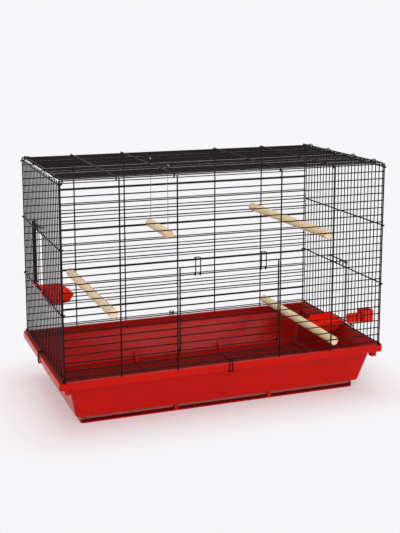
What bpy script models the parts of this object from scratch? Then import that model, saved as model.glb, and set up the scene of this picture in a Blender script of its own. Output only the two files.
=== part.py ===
"""Bird cage on a plastic tray: five wire grille panels, hinged and sliding doors, cups, perches, a swing, clips.

Lengths are in metres, x runs to the right, the front faces -y and the tray stands on z = 0.
Every wire is a bevelled curve made into a mesh. A grille is one row of wires welded on to the wires that cross it.
"""
import math

import bmesh
import bpy
from mathutils import Vector

# Main sizes
cage_length = 0.587
cage_depth = 0.312
cage_height = 0.325
tray_height = 0.086
grille_lift = 0.002

# Wires
main_radius = 0.001
cross_radius = 0.00125
thin_radius = 0.0009
weld_seat = 0.00025
feed_weld_seat = 0.0005
clearance = 0.0003
swing_clearance = 0.0005
wire_pitch = 0.013
side_pitch = 0.0125
merge_distance = 0.000001

# Grille layout
first_row_height = 0.0046
wire_end = 0.0013
row_overhang = 0.0013
side_wire_inset = 0.002
side_row_inset = 0.006
opening_lip = 0.001
roof_edge_inset = 0.0068
roof_wire_shifts = (0.0047, 0.0055, 0.0029, 0.0029)
roof_wire_end_gap = 0.0005
bay_shares = (-0.3313, -0.1632, 0.1567, 0.3284)
rail_heights = (0, 0.1125, 0.2191)
top_rail_drop = 0.0052
lifted_shares = (1 / 12, 1 / 3, 2 / 3, 11 / 12)

# Front door and its latches
door_bottom_height = 0.0306
door_top_height = 0.1736
door_side_gap = 0.004
door_row_overhang = 0.00125
latch_places = (-0.06, 0.06)
latch_half_width = 0.0045
latch_reach = 0.002
latch_bend = 0.0006

# Feed doors
feed_opening_width = 0.0625
left_feed_centre = 0.01875
right_feed_centre = 0.00625
feed_wire_gap = 0.0045
feed_wire_count = 5
feed_bar_lift = 0.0068
feed_handle_lift = 0.01
feed_loop_radius = 0.0028

# Feeder cups, the left one hanging from its rail and the right one raised by the tray's rim
cup_width = 0.059
cup_reach = 0.055
cup_rim_lifts = (0.001, 0.008)
cup_drops = (0.0225, 0.014)
cup_back_slopes = (0.009, 0.0145)
cup_knee_lift = 0.0005
cup_wall = 0.002
cup_nose_width = 0.04
cup_nose_length = 0.016
cup_nose_drop = 0.01
cup_foot_slope = 0.009
cup_side_slope = 0.004
tab_width = 0.008
tab_pitch_count = 2
tab_lip = 0.00175
tab_drop = 0.001
tab_root = 0.003

# Outer cup
outer_cup_height = 0.0172
outer_cup_width = 0.024
outer_cup_depth = 0.0225
outer_cup_tall = 0.0228
outer_cup_gap = 0.0055
outer_cup_centre = -0.06875
neck_lift = 0.0005
neck_tall = 0.016
neck_inside = 0.0179
neck_wall = 0.0016

# Perches and swing
perch_radius = 0.00775
perch_wire_gap = 0.00125
perch_groove_depth = 0.0017
perch_chamfer = 0.0008
perch_shares = (-0.351, 0.304, 0.342)
perch_heights = (0.1086, 0.2126, 0.0176)
perch_slants = (0, -0.042, 0)
swing_share = -0.13
swing_hang_share = 1 / 6
swing_drop = 0.11955
swing_perch_overhang = 0.006
swing_groove_depth = 0.0035

# Clips
clip_place = 0
side_clip_place = 0.00625
right_clip_place = -0.04375
clip_radius = 0.00125
clip_hook_inset = 0.003
side_clip_hook = 0.005
clip_bottom_gap = 0.0009
clip_row_height = 0.0046
clip_half_width = 0.00275

# Tray
rim_side_overhang = 0.0055
rim_front_overhang = 0.002
rim_height = 0.0125
rim_round = 0.0015
rim_side_width = 0.0105
rim_front_width = 0.0075
tray_wall = 0.0025
wall_top_inset = (0.019, 0.012)
wall_foot_inset = (0.033, 0.03)
skirt_inset = (0.042, 0.035)
skirt_height = 0.013
skirt_thickness = 0.0065
floor_height = 0.0105
foot_round = 0.004
floor_round = 0.003
tray_corner = 0.006
foot_corner = 0.006
rib_place = 0.088
rib_width = 0.003
rib_height = 0.0035
rib_rise = 0.012
window_depth = 0.004
window_bottom = 0.0025
window_top = 0.0122
window_end = 0.0035
lug_width = 0.01
lug_depth = 0.012
lug_height = 0.0095
lug_side_inset = 0.01
lug_front_inset = 0.006
bury = 0.001

# Facets
hook_steps = 4
loop_steps = 6
corner_steps = 4
perch_sides = 16
swing_sides = 12
square_section = 0
hexagon_section = 1
clip_start_turn = math.radians(160)
half_turn = math.radians(180)
loop_turn = math.radians(250)
quarter_turn = math.radians(90)

# Sizes worked out from the ones above
half_length = cage_length / 2
half_depth = cage_depth / 2
tray_length = cage_length + 2 * rim_side_overhang
tray_depth = cage_depth + 2 * rim_front_overhang
base = tray_height + grille_lift
weld = main_radius + cross_radius - weld_seat
rows = round(cage_height / wire_pitch)
row_step = cage_height / rows
row_y = half_depth - weld
side_x = half_length - side_wire_inset
side_half = half_depth - side_row_inset
columns = round(2 * side_half / side_pitch)
column_step = 2 * side_half / columns
rail_loop = 2 * cross_radius + clearance
post_x = half_length - rail_loop
row_half = post_x + row_overhang
roof_hook = main_radius + cross_radius + clearance
top_row_z = base + first_row_height + rows * row_step
roof_cross_z = top_row_z + roof_hook
roof_row_z = roof_cross_z - weld
roof_edge_x = half_length - roof_edge_inset
roof_count = round(2 * row_y / wire_pitch)
roof_step = 2 * row_y / roof_count
top_rail_z = top_row_z - top_rail_drop
bay_positions = [share * cage_length for share in bay_shares]
door_left = bay_positions[1]
door_right = bay_positions[2]
hook_squash = (roof_hook + clearance) / (roof_edge_inset - side_wire_inset)

collection = None
cutters = None


def row_z(row):
    """Height of a front or back grille wire, counted from the lowest."""
    return base + first_row_height + row * row_step


def nearest_row(height):
    """The grille wire nearest to a height above the lowest rail."""
    return round((height - first_row_height) / row_step)


def column_y(column):
    """Place along y of an upright of the side grilles."""
    return -side_half + column * column_step


def nearest_column(place):
    """The side upright nearest to a place along y."""
    return round((place + side_half) / column_step)


def start():
    """Clears the file and makes the collections for the pieces and for their cutters."""
    global collection, cutters
    for item in list(bpy.data.objects):
        bpy.data.objects.remove(item, do_unlink=True)
    collection = bpy.data.collections.new("bird_cage")
    cutters = bpy.data.collections.new("bird_cage_cutters")
    bpy.context.scene.collection.children.link(collection)
    bpy.context.scene.collection.children.link(cutters)


def paint(name, colour, roughness, metallic):
    """A plain Principled material."""
    material = bpy.data.materials.new(name)
    material.use_nodes = True
    shader = material.node_tree.nodes["Principled BSDF"]
    shader.inputs["Base Color"].default_value = (*colour, 1.0)
    shader.inputs["Roughness"].default_value = roughness
    shader.inputs["Metallic"].default_value = metallic
    material.diffuse_color = (*colour, 1.0)
    return material


def mesh_object(name, points, faces, home):
    """An object from points and faces, with its faces turned out."""
    mesh = bpy.data.meshes.new(name)
    mesh.from_pydata(points, [], faces)
    work = bmesh.new()
    work.from_mesh(mesh)
    bmesh.ops.recalc_face_normals(work, faces=work.faces)
    work.to_mesh(mesh)
    work.free()
    item = bpy.data.objects.new(name, mesh)
    home.objects.link(item)
    return item


def bend_wires(name, paths, radius, section, turn, home):
    """Wires of one radius along the given paths, as a mesh."""
    curve = bpy.data.curves.new(name, "CURVE")
    curve.dimensions = "3D"
    curve.bevel_depth = radius
    curve.bevel_resolution = section
    curve.use_fill_caps = True
    for path in paths:
        spline = curve.splines.new("POLY")
        spline.points.add(len(path) - 1)
        for point, place in zip(spline.points, path):
            point.co = (*place, 1.0)
            point.tilt = turn
    source = bpy.data.objects.new(name + "_curve", curve)
    home.objects.link(source)
    graph = bpy.context.evaluated_depsgraph_get()
    graph.update()
    mesh = bpy.data.meshes.new_from_object(source.evaluated_get(graph))
    work = bmesh.new()
    work.from_mesh(mesh)
    bmesh.ops.remove_doubles(work, verts=work.verts, dist=merge_distance)
    bmesh.ops.recalc_face_normals(work, faces=work.faces)
    work.to_mesh(mesh)
    work.free()
    mesh.name = name
    item = bpy.data.objects.new(name, mesh)
    item.matrix_world = source.matrix_world
    home.objects.link(item)
    bpy.data.objects.remove(source, do_unlink=True)
    return item


def combine(item, other, operation):
    """Joins or cuts an object with another that stays as a hidden cutter."""
    other.hide_render = True
    other.display_type = "WIRE"
    step = item.modifiers.new(other.name, "BOOLEAN")
    step.operation = operation
    step.solver = "EXACT"
    step.object = other


def finish(item, material, origin, smooth):
    """Gives an object its material, its shading and an origin on its joint axis."""
    item.data.materials.clear()
    item.data.materials.append(material)
    for face in item.data.polygons:
        face.use_smooth = smooth
    for vertex in item.data.vertices:
        vertex.co.x -= origin[0]
        vertex.co.y -= origin[1]
        vertex.co.z -= origin[2]
    item.location = origin
    return item


def box(name, low, high, home):
    """A box between two corners."""
    points = [(x, y, z) for x in (low[0], high[0]) for y in (low[1], high[1]) for z in (low[2], high[2])]
    faces = [(0, 1, 3, 2), (4, 6, 7, 5), (0, 4, 5, 1), (2, 3, 7, 6), (0, 2, 6, 4), (1, 5, 7, 3)]
    return mesh_object(name, points, faces, home)


def arc(centre, radius, begin, turn, steps, plane):
    """Points on an arc. The plane names the two axes, the angle runs from the first to the second."""
    points = []
    first = "xyz".index(plane[0])
    second = "xyz".index(plane[1])
    for step in range(steps + 1):
        angle = begin + turn * step / steps
        point = list(centre)
        point[first] += radius * math.cos(angle)
        point[second] += radius * math.sin(angle)
        points.append(tuple(point))
    return points


def prism(name, outline, low, high, axis, home):
    """A flat outline pushed along x or y between two places."""
    points = []
    for place in (low, high):
        for across, height in outline:
            points.append((place, across, height) if axis == "x" else (across, place, height))
    count = len(outline)
    faces = [tuple(range(count)), tuple(range(2 * count - 1, count - 1, -1))]
    for index in range(count):
        after = (index + 1) % count
        faces.append((index, after, count + after, count + index))
    return mesh_object(name, points, faces, home)


def loft(name, rings, home):
    """A closed skin over rings that have the same number of points, with flat ends."""
    count = len(rings[0])
    points = [point for ring in rings for point in ring]
    faces = [tuple(range(count)), tuple(range(len(points) - 1, len(points) - count - 1, -1))]
    for level in range(len(rings) - 1):
        for index in range(count):
            after = (index + 1) % count
            lower = level * count
            upper = lower + count
            faces.append((lower + index, lower + after, upper + after, upper + index))
    return mesh_object(name, points, faces, home)


def rounded_ring(half_x, half_y, height, radius):
    """A rectangle with round corners at a height."""
    points = []
    for corner, (sign_x, sign_y) in enumerate(((1, 1), (-1, 1), (-1, -1), (1, -1))):
        centre = (sign_x * (half_x - radius), sign_y * (half_y - radius), height)
        points.extend(arc(centre, radius, corner * quarter_turn, quarter_turn, corner_steps, "xy"))
    return points


def end_panel(name, side, open_door, black):
    """The front or back grille: wires along x welded inside uprights."""
    hinge_row = nearest_row(door_bottom_height)
    top_row = nearest_row(door_top_height)
    paths = []
    for row in range(rows + 1):
        height = row_z(row)
        left = (-row_half, side * row_y, height)
        right = (row_half, side * row_y, height)
        if open_door and hinge_row < row <= top_row:
            paths.append([left, (door_left + opening_lip, side * row_y, height)])
            paths.append([(door_right - opening_lip, side * row_y, height), right])
        else:
            paths.append([left, right])
    item = bend_wires(name, paths, main_radius, square_section, 0, collection)
    foot = tray_height + clearance
    head = top_row_z + wire_end
    uprights = []
    for place in [-post_x, *bay_positions, post_x]:
        uprights.append([(place, side * half_depth, foot), (place, side * half_depth, head)])
    posts = bend_wires(name + "_uprights", uprights, cross_radius, square_section, 0, cutters)
    combine(item, posts, "UNION")
    return finish(item, black, (0, side * half_depth, base), False)


def side_panel(name, side, feed_centre, low_rail, black):
    """A side grille: uprights welded inside rails whose ends hook round the corner posts."""
    first = nearest_column(feed_centre - feed_opening_width / 2)
    last = nearest_column(feed_centre + feed_opening_width / 2)
    foot = tray_height + clearance
    head = roof_row_z - main_radius - clearance
    lifted = [round(share * columns) for share in lifted_shares]
    rails = [base + height for height in rail_heights] + [top_rail_z]
    low = rails[low_rail]
    high = rails[low_rail + 1]
    paths = []
    for column in range(columns + 1):
        place = column_y(column)
        top = (side * side_x, place, head)
        upright = [top]
        if column in lifted:
            radius = side_x - roof_edge_x
            centre = (side * roof_edge_x, place, roof_cross_z)
            begin = 0 if side > 0 else half_turn
            hook = arc(centre, radius, begin, side * half_turn, hook_steps, "xz")
            upright = [(x, y, roof_cross_z + (z - roof_cross_z) * hook_squash) for x, y, z in reversed(hook)]
        if first < column < last:
            paths.append(upright + [(side * side_x, place, high - opening_lip)])
            paths.append([(side * side_x, place, low + opening_lip), (side * side_x, place, foot)])
        else:
            paths.append(upright + [(side * side_x, place, foot)])
    item = bend_wires(name, paths, main_radius, square_section, 0, collection)
    rail_paths = []
    for height in rails:
        front = arc((side * post_x, -half_depth, height), rail_loop, 0 if side > 0 else half_turn,
                    -side * half_turn, hook_steps, "xy")
        back = arc((side * post_x, half_depth, height), rail_loop, 0 if side > 0 else half_turn,
                   side * half_turn, hook_steps, "xy")
        rail_paths.append(list(reversed(front)) + back)
    bars = bend_wires(name + "_rails", rail_paths, cross_radius, square_section, 0, cutters)
    combine(item, bars, "UNION")
    return finish(item, black, (side * side_x, 0, base), False)


def roof_panel(black):
    """The roof grille: wires along x under cross wires that hook round the top wires of front and back."""
    reach = side_x - main_radius - roof_wire_end_gap
    paths = []
    for row in range(1, roof_count):
        place = -row_y + row * roof_step
        paths.append([(-reach, place, roof_row_z), (reach, place, roof_row_z)])
    item = bend_wires("roof_panel", paths, main_radius, square_section, 0, collection)
    inner = [bay - shift for bay, shift in zip(bay_positions, roof_wire_shifts)]
    places = [-roof_edge_x] + inner + [roof_edge_x]
    cross_paths = []
    for place in places:
        front = arc((place, -row_y, top_row_z), roof_hook, quarter_turn, half_turn, hook_steps, "yz")
        back = arc((place, row_y, top_row_z), roof_hook, quarter_turn, -half_turn, hook_steps, "yz")
        cross_paths.append(list(reversed(front)) + back)
    bars = bend_wires("roof_panel_cross_wires", cross_paths, cross_radius, square_section, 0, cutters)
    combine(item, bars, "UNION")
    return finish(item, black, (0, 0, roof_cross_z), False)


def front_door(black):
    """The front door: short wires welded behind two side wires that loop round a grille wire."""
    hinge_row = nearest_row(door_bottom_height)
    top_row = nearest_row(door_top_height)
    side_y = -row_y - roof_hook
    door_y = side_y + weld
    left = door_left + door_side_gap
    right = door_right - door_side_gap
    paths = []
    for row in range(hinge_row + 1, top_row + 1):
        height = row_z(row)
        paths.append([(left - door_row_overhang, door_y, height), (right + door_row_overhang, door_y, height)])
    item = bend_wires("front_door", paths, main_radius, square_section, 0, collection)
    sides = []
    for place in (left, right):
        loop = arc((place, -row_y, row_z(hinge_row)), roof_hook, half_turn, loop_turn, loop_steps, "yz")
        sides.append([(place, side_y, row_z(top_row) + wire_end)] + loop)
    frame = bend_wires("front_door_side_wires", sides, cross_radius, square_section, 0, cutters)
    combine(item, frame, "UNION")
    return finish(item, black, (0, -row_y, row_z(hinge_row)), False)


def door_latch(name, place, black):
    """A bent wire latch: two eyes round a door wire, a loop that hooks over the grille wire above."""
    top_row = nearest_row(door_top_height)
    pivot_row = top_row - 1
    door_y = -row_y - roof_hook + weld
    eye = main_radius + thin_radius + clearance
    leg_y = door_y - eye
    top = row_z(top_row + 1) + eye
    bottom = row_z(pivot_row)
    path = []
    left = place - latch_half_width
    right = place + latch_half_width
    loop = arc((left, door_y, bottom), eye, half_turn, loop_turn, loop_steps, "yz")
    path.extend(reversed(loop))
    path.append((left, leg_y, top - latch_bend))
    path.append((left, leg_y + latch_bend, top))
    path.append((left, -row_y + latch_reach - latch_bend, top))
    path.append((left + latch_bend, -row_y + latch_reach, top))
    path.append((right - latch_bend, -row_y + latch_reach, top))
    path.append((right, -row_y + latch_reach - latch_bend, top))
    path.append((right, leg_y + latch_bend, top))
    path.append((right, leg_y, top - latch_bend))
    path.extend(arc((right, door_y, bottom), eye, half_turn, loop_turn, loop_steps, "yz"))
    item = bend_wires(name, [path], thin_radius, hexagon_section, 0, collection)
    return finish(item, black, (place, door_y, bottom), False)


def feed_door(name, side, feed_centre, low_rail, black):
    """A guillotine door: uprights on two bars whose ends loop round side uprights."""
    first = column_y(nearest_column(feed_centre - feed_opening_width / 2))
    last = column_y(nearest_column(feed_centre + feed_opening_width / 2))
    rails = [base + height for height in rail_heights] + [top_rail_z]
    low = rails[low_rail] + feed_bar_lift
    high = rails[low_rail + 1] + feed_handle_lift
    bar_x = side_x + feed_loop_radius
    wire_x = half_length + cross_radius + main_radius + clearance
    bar_radius = wire_x - bar_x - main_radius + feed_weld_seat
    paths = []
    for index in range(feed_wire_count):
        share = index / (feed_wire_count - 1)
        place = first + feed_wire_gap + share * (last - first - 2 * feed_wire_gap)
        paths.append([(side * wire_x, place, low - wire_end), (side * wire_x, place, high + wire_end)])
    item = bend_wires(name, paths, main_radius, square_section, 0, collection)
    bars = []
    begin = 0 if side > 0 else half_turn
    for height in (low, high):
        front = arc((side * side_x, first, height), feed_loop_radius, begin, -side * half_turn, hook_steps, "xy")
        back = arc((side * side_x, last, height), feed_loop_radius, begin, side * half_turn, hook_steps, "xy")
        bars.append(list(reversed(front)) + back)
    frame = bend_wires(name + "_bars", bars, bar_radius, square_section, 0, cutters)
    combine(item, frame, "UNION")
    return finish(item, black, (side * bar_x, (first + last) / 2, low), False)


def cup_ring(side, outer_x, reach, half_width, nose_half, centre, height, nose_height):
    """A cup section: square at the cage wall, tapered at the inner end, whose nose may lie lower."""
    inner_x = outer_x - reach
    outline = [
        (outer_x, centre - half_width, height),
        (outer_x, centre + half_width, height),
        (inner_x + cup_nose_length, centre + half_width, height),
        (inner_x, centre + nose_half, nose_height),
        (inner_x, centre - nose_half, nose_height),
        (inner_x + cup_nose_length, centre - half_width, height),
    ]
    return [(side * x, y, z) for x, y, z in outline]


def feeder_cup(name, side, feed_centre, low_rail, sizes, red):
    """A feed cup with a low nose and two tabs that hook over a side rail."""
    rim_lift, drop, back_slope = sizes
    first = column_y(nearest_column(feed_centre - feed_opening_width / 2))
    last = column_y(nearest_column(feed_centre + feed_opening_width / 2))
    centre = (first + last) / 2
    rail = base + rail_heights[low_rail]
    outer_x = side_x - main_radius - clearance
    half_width = cup_width / 2
    nose = cup_nose_width / 2
    rim = rail + rim_lift
    lip = rim - cup_nose_drop
    knee = rail + cup_knee_lift
    foot = rail - drop
    inner_floor = foot + cup_wall
    reach = cup_reach - 2 * cup_wall
    foot_reach = cup_reach - cup_foot_slope - back_slope
    rings = [
        cup_ring(side, outer_x - cup_wall - back_slope, foot_reach - 2 * cup_wall,
                 half_width - cup_wall - cup_side_slope, nose - cup_wall, centre, inner_floor, inner_floor),
        cup_ring(side, outer_x - cup_wall, reach, half_width - cup_wall, nose - cup_wall / 2, centre, knee,
                 lip - rim + knee),
        cup_ring(side, outer_x - cup_wall, reach, half_width - cup_wall, nose - cup_wall / 2, centre, rim, lip),
        cup_ring(side, outer_x, cup_reach, half_width, nose, centre, rim, lip),
        cup_ring(side, outer_x, cup_reach, half_width, nose, centre, knee, lip - rim + knee),
        cup_ring(side, outer_x - back_slope, foot_reach, half_width - cup_side_slope, nose, centre, foot, foot),
    ]
    item = loft(name, rings, collection)
    rail_gap = cross_radius + clearance
    lip_x = half_length + cross_radius + clearance
    tab_top = rail + rail_gap + tab_lip
    root = min(knee, rim - tab_root)
    outline = [
        (side * (outer_x - cup_wall + bury / 2), root),
        (side * (outer_x - cup_wall + bury / 2), tab_top),
        (side * lip_x, tab_top),
        (side * (lip_x + tab_lip), rail + rail_gap),
        (side * (lip_x + tab_lip), rail - tab_drop),
        (side * lip_x, rail - tab_drop),
        (side * lip_x, rail + rail_gap),
        (side * (outer_x - bury / 2), rail + rail_gap),
        (side * (outer_x - bury / 2), root),
    ]
    for index, sign in enumerate((-1, 1)):
        middle = centre + sign * tab_pitch_count * column_step
        tab = prism(f"{name}_tab_{index}", outline, middle - tab_width / 2, middle + tab_width / 2, "y", cutters)
        combine(item, tab, "UNION")
    return finish(item, red, (side * half_length, centre, rail), False)


def outer_cup(red):
    """A drinker cup whose narrow trough passes between two side uprights."""
    column = nearest_column(outer_cup_centre - column_step / 2)
    centre = column_y(column) + column_step / 2
    body_x = half_length + cross_radius + outer_cup_gap + clearance
    bottom = base + outer_cup_height
    half = outer_cup_width / 2
    end_x = body_x + outer_cup_depth
    item = box("outer_cup", (body_x, centre - half, bottom), (end_x, centre + half, bottom + outer_cup_tall), collection)
    neck_half = column_step / 2 - main_radius - clearance
    neck_bottom = bottom + neck_lift
    neck_top = neck_bottom + neck_tall
    start_x = side_x - neck_inside
    neck = box("outer_cup_neck", (start_x, centre - neck_half, neck_bottom),
               (body_x + bury, centre + neck_half, neck_top), cutters)
    combine(item, neck, "UNION")
    hollow = box("outer_cup_hollow", (body_x + neck_wall, centre - half + neck_wall, bottom + neck_wall),
                 (end_x - neck_wall, centre + half - neck_wall, bottom + outer_cup_tall + bury), cutters)
    combine(item, hollow, "DIFFERENCE")
    trough = box("outer_cup_trough", (start_x + neck_wall, centre - neck_half + neck_wall, neck_bottom + neck_wall),
                 (body_x + 2 * neck_wall, centre + neck_half - neck_wall, neck_top + bury), cutters)
    combine(item, trough, "DIFFERENCE")
    return finish(item, red, (body_x, centre, bottom), False)


def dowel(name, place, height, half, radius, chamfer, sides, slant, home):
    """A round bar along y with chamfered ends, which may stand a little askew to y."""
    rings = []
    for y, size in ((-half, radius - chamfer), (chamfer - half, radius), (half - chamfer, radius),
                    (half, radius - chamfer)):
        ring = []
        for index in range(sides):
            angle = (index + 0.5) * 2 * half_turn / sides
            ring.append((place + slant * y + size * math.cos(angle), y, height + size * math.sin(angle)))
        rings.append(ring)
    return loft(name, rings, home)


def perch(name, share, row_height, slant, wood):
    """A wooden perch held by grooves on a front and a back wire."""
    row = nearest_row(row_height)
    drop = row_step - perch_radius - main_radius - perch_wire_gap
    height = row_z(row) - drop
    half = half_depth - cross_radius - clearance
    place = share * cage_length
    item = dowel(name, place, height, half, perch_radius, perch_chamfer, perch_sides, slant, collection)
    slot = main_radius + clearance
    for index, side in enumerate((-1, 1)):
        near = side * (row_y - main_radius - clearance)
        far = side * (half + bury)
        end = place + slant * side * half
        groove = box(f"{name}_groove_{index}",
                     (end - 2 * perch_radius, min(near, far), row_z(row) - slot),
                     (end + 2 * perch_radius, max(near, far), row_z(row) + slot), cutters)
        combine(item, groove, "DIFFERENCE")
    return finish(item, wood, (place, 0, height), True)


def swing(steel, wood):
    """A swing: one bent wire with an eye on two roof wires, and a bar threaded on it."""
    place = swing_share * cage_length
    row = round((row_y - swing_hang_share * cage_depth) / roof_step)
    hang = row_y - row * roof_step
    eye = main_radius + thin_radius + swing_clearance
    leg = hang - eye
    bar_z = roof_row_z - swing_drop
    under = bar_z - perch_radius + swing_groove_depth / 2
    path = []
    front = arc((place, -hang, roof_row_z), eye, 0, loop_turn, loop_steps, "yz")
    path.extend(reversed(front))
    path.append((place, -leg, under + latch_bend))
    path.append((place, latch_bend - leg, under))
    path.append((place, leg - latch_bend, under))
    path.append((place, leg, under + latch_bend))
    path.extend(arc((place, hang, roof_row_z), eye, half_turn, -loop_turn, loop_steps, "yz"))
    hanger = bend_wires("swing_wire", [path], thin_radius, hexagon_section, 0, collection)
    axis = (place, 0, roof_row_z)
    finish(hanger, steel, axis, False)
    half = hang + swing_perch_overhang
    item = dowel("swing_perch", place, bar_z, half, perch_radius, perch_chamfer, swing_sides, 0, collection)
    slot = thin_radius + clearance
    groove = box("swing_perch_groove", (place - slot, -leg - slot, bar_z - 2 * perch_radius),
                 (place + slot, leg + slot, under + slot), cutters)
    combine(item, groove, "DIFFERENCE")
    for index, side in enumerate((-1, 1)):
        hole = box(f"swing_perch_hole_{index}", (place - slot, side * leg - slot, bar_z - perch_radius),
                   (place + slot, side * leg + slot, bar_z + 2 * perch_radius), cutters)
        combine(item, hole, "DIFFERENCE")
    finish(item, wood, axis, True)


def end_clip(name, side, black):
    """A wire hairpin on the lowest grille wire of the front or back: its foot hooks under the rim."""
    pivot = row_z(nearest_row(clip_row_height))
    eye = main_radius + clip_radius + clearance
    leg = tray_depth / 2 + clip_radius + clearance - row_y
    bottom = pivot - (tray_height - rim_height) + clearance + clip_radius
    reach = math.hypot(bottom, leg) + clearance
    foot = pivot - math.sqrt(reach**2 - leg**2)
    centre = (clip_place, side * row_y, pivot)
    path = arc(centre, eye, quarter_turn + side * loop_turn, -side * loop_turn, loop_steps, "yz")
    path.append((clip_place, side * (row_y + leg - latch_bend), pivot + eye))
    path.append((clip_place, side * (row_y + leg), pivot + eye - latch_bend))
    begin = math.atan2(foot - pivot, leg)
    end = math.atan2(-reach, clip_hook_inset - leg)
    for step in range(hook_steps + 1):
        angle = begin + (end - begin) * step / hook_steps
        path.append((clip_place, side * (row_y + reach * math.cos(angle)), pivot + reach * math.sin(angle)))
    left = [(x - clip_half_width, y, z) for x, y, z in path]
    right = [(x + clip_half_width, y, z) for x, y, z in reversed(path)]
    item = bend_wires(name, [left + right], clip_radius, square_section, 0, collection)
    return finish(item, black, centre, False)


def side_clip(name, side, place, black):
    """A wire hairpin on the lowest side rail: its foot hooks under the rim."""
    eye = rail_loop
    middle = column_y(nearest_column(place - column_step / 2)) + column_step / 2
    leg = tray_length / 2 + clip_radius + clearance - half_length
    bottom = base - (tray_height - rim_height) + clearance + clip_radius + clip_bottom_gap
    centre = (side * half_length, middle, base)
    begin = clip_start_turn if side > 0 else half_turn - clip_start_turn
    path = arc(centre, eye, begin, side * (quarter_turn - clip_start_turn), hook_steps, "xz")
    path.append((side * (half_length + leg - latch_bend), middle, base + eye))
    path.append((side * (half_length + leg), middle, base + eye - latch_bend))
    path.append((side * (half_length + leg), middle, base - bottom + latch_bend))
    path.append((side * (half_length + leg - latch_bend), middle, base - bottom))
    path.append((side * (half_length + leg - side_clip_hook), middle, base - bottom))
    near = [(x, y - clip_half_width, z) for x, y, z in path]
    far = [(x, y + clip_half_width, z) for x, y, z in reversed(path)]
    item = bend_wires(name, [near + far], clip_radius, square_section, 0, collection)
    return finish(item, black, centre, False)


def tray(red):
    """The tray: one skin from the floor up the wall, over the rim and down to the skirt."""
    half_x = tray_length / 2
    half_y = tray_depth / 2
    rim_bottom = tray_height - rim_height
    top_x = half_x - wall_top_inset[0]
    top_y = half_y - wall_top_inset[1]
    foot_x = half_x - wall_foot_inset[0]
    foot_y = half_y - wall_foot_inset[1]
    skirt_x = half_x - skirt_inset[0]
    skirt_y = half_y - skirt_inset[1]
    inner_x = foot_x - tray_wall
    inner_y = foot_y - tray_wall
    floor_x = skirt_x - skirt_thickness
    floor_y = skirt_y - skirt_thickness
    ledge = skirt_height + tray_wall
    wall_start = ledge + floor_round
    edge_x = half_x - rim_side_width
    edge_y = half_y - rim_front_width
    rings = [
        rounded_ring(floor_x - rim_round, floor_y - rim_round, floor_height, foot_corner),
        rounded_ring(floor_x, floor_y, floor_height + rim_round, foot_corner),
        rounded_ring(floor_x, floor_y, ledge, foot_corner),
        rounded_ring(inner_x - floor_round, inner_y - floor_round, ledge, foot_corner),
        rounded_ring(inner_x, inner_y, wall_start, foot_corner),
        rounded_ring(top_x - tray_wall, top_y - tray_wall, rim_bottom, tray_corner),
        rounded_ring(edge_x - rim_round, edge_y - rim_round, tray_height - rim_round, tray_corner),
        rounded_ring(edge_x, edge_y, tray_height, tray_corner),
        rounded_ring(half_x - rim_round, half_y - rim_round, tray_height, tray_corner),
        rounded_ring(half_x, half_y, tray_height - rim_round, tray_corner),
        rounded_ring(half_x, half_y, rim_bottom + rim_round, tray_corner),
        rounded_ring(half_x - rim_round, half_y - rim_round, rim_bottom, tray_corner),
        rounded_ring(top_x, top_y, rim_bottom, tray_corner),
        rounded_ring(foot_x, foot_y, skirt_height + foot_round, foot_corner),
        rounded_ring(foot_x - foot_round, foot_y - foot_round, skirt_height, foot_corner),
        rounded_ring(skirt_x, skirt_y, skirt_height, foot_corner),
        rounded_ring(skirt_x, skirt_y, 0, foot_corner),
        rounded_ring(floor_x, floor_y, 0, foot_corner),
        rounded_ring(floor_x, floor_y, floor_height - tray_wall, foot_corner),
    ]
    item = loft("tray", rings, collection)
    lean = (top_y - foot_y) / (rim_bottom - wall_start)
    rise = wall_start + rib_rise
    rib_outline = [
        (-floor_y - bury, floor_height - bury),
        (floor_y + bury, floor_height - bury),
        (floor_y + bury, ledge - bury),
        (inner_y - floor_round, ledge - bury),
        (inner_y + bury, wall_start),
        (inner_y + lean * rib_rise + bury, rise),
        (inner_y + lean * rib_rise - bury, rise),
        (inner_y - rib_height, wall_start + rib_height),
        (floor_y - rib_height, ledge + rib_height),
        (floor_y - 2 * rib_height, floor_height + rib_height),
        (-floor_y - bury, floor_height + rib_height),
    ]
    for index, side in enumerate((-1, 1)):
        low = side * rib_place - rib_width / 2
        rib = prism(f"tray_rib_{index}", rib_outline, low, low + rib_width, "x", cutters)
        combine(item, rib, "UNION")
    for index, (sign_x, sign_y) in enumerate(((-1, -1), (1, -1), (-1, 1), (1, 1))):
        near_x = half_x - lug_side_inset
        near_y = half_y - lug_front_inset
        xs = sorted((sign_x * near_x, sign_x * (near_x - lug_width)))
        ys = sorted((sign_y * near_y, sign_y * (near_y - lug_depth)))
        lug = box(f"tray_lug_{index}", (xs[0], ys[0], rim_bottom - lug_height), (xs[1], ys[1], rim_bottom + bury),
                  cutters)
        combine(item, lug, "UNION")
    ends = skirt_x - window_end
    spans = (
        (-ends, -rib_place - rib_width),
        (-rib_place + rib_width, rib_place - rib_width),
        (rib_place + rib_width, ends),
    )
    for index, (low, high) in enumerate(spans):
        for end, side in enumerate((-1, 1)):
            ys = sorted((side * (skirt_y - window_depth), side * (skirt_y + bury)))
            window = box(f"tray_window_{index}_{end}", (low, ys[0], window_bottom), (high, ys[1], window_top), cutters)
            combine(item, window, "DIFFERENCE")
    return finish(item, red, (0, 0, 0), False)


def centre_pieces():
    """Moves everything along x so that the middle of the whole object is over the origin."""
    bpy.context.view_layer.update()
    places = [(item.matrix_world @ Vector(corner)).x for item in collection.objects for corner in item.bound_box]
    middle = (min(places) + max(places)) / 2
    for item in [*collection.objects, *cutters.objects]:
        item.location.x -= middle


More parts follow.
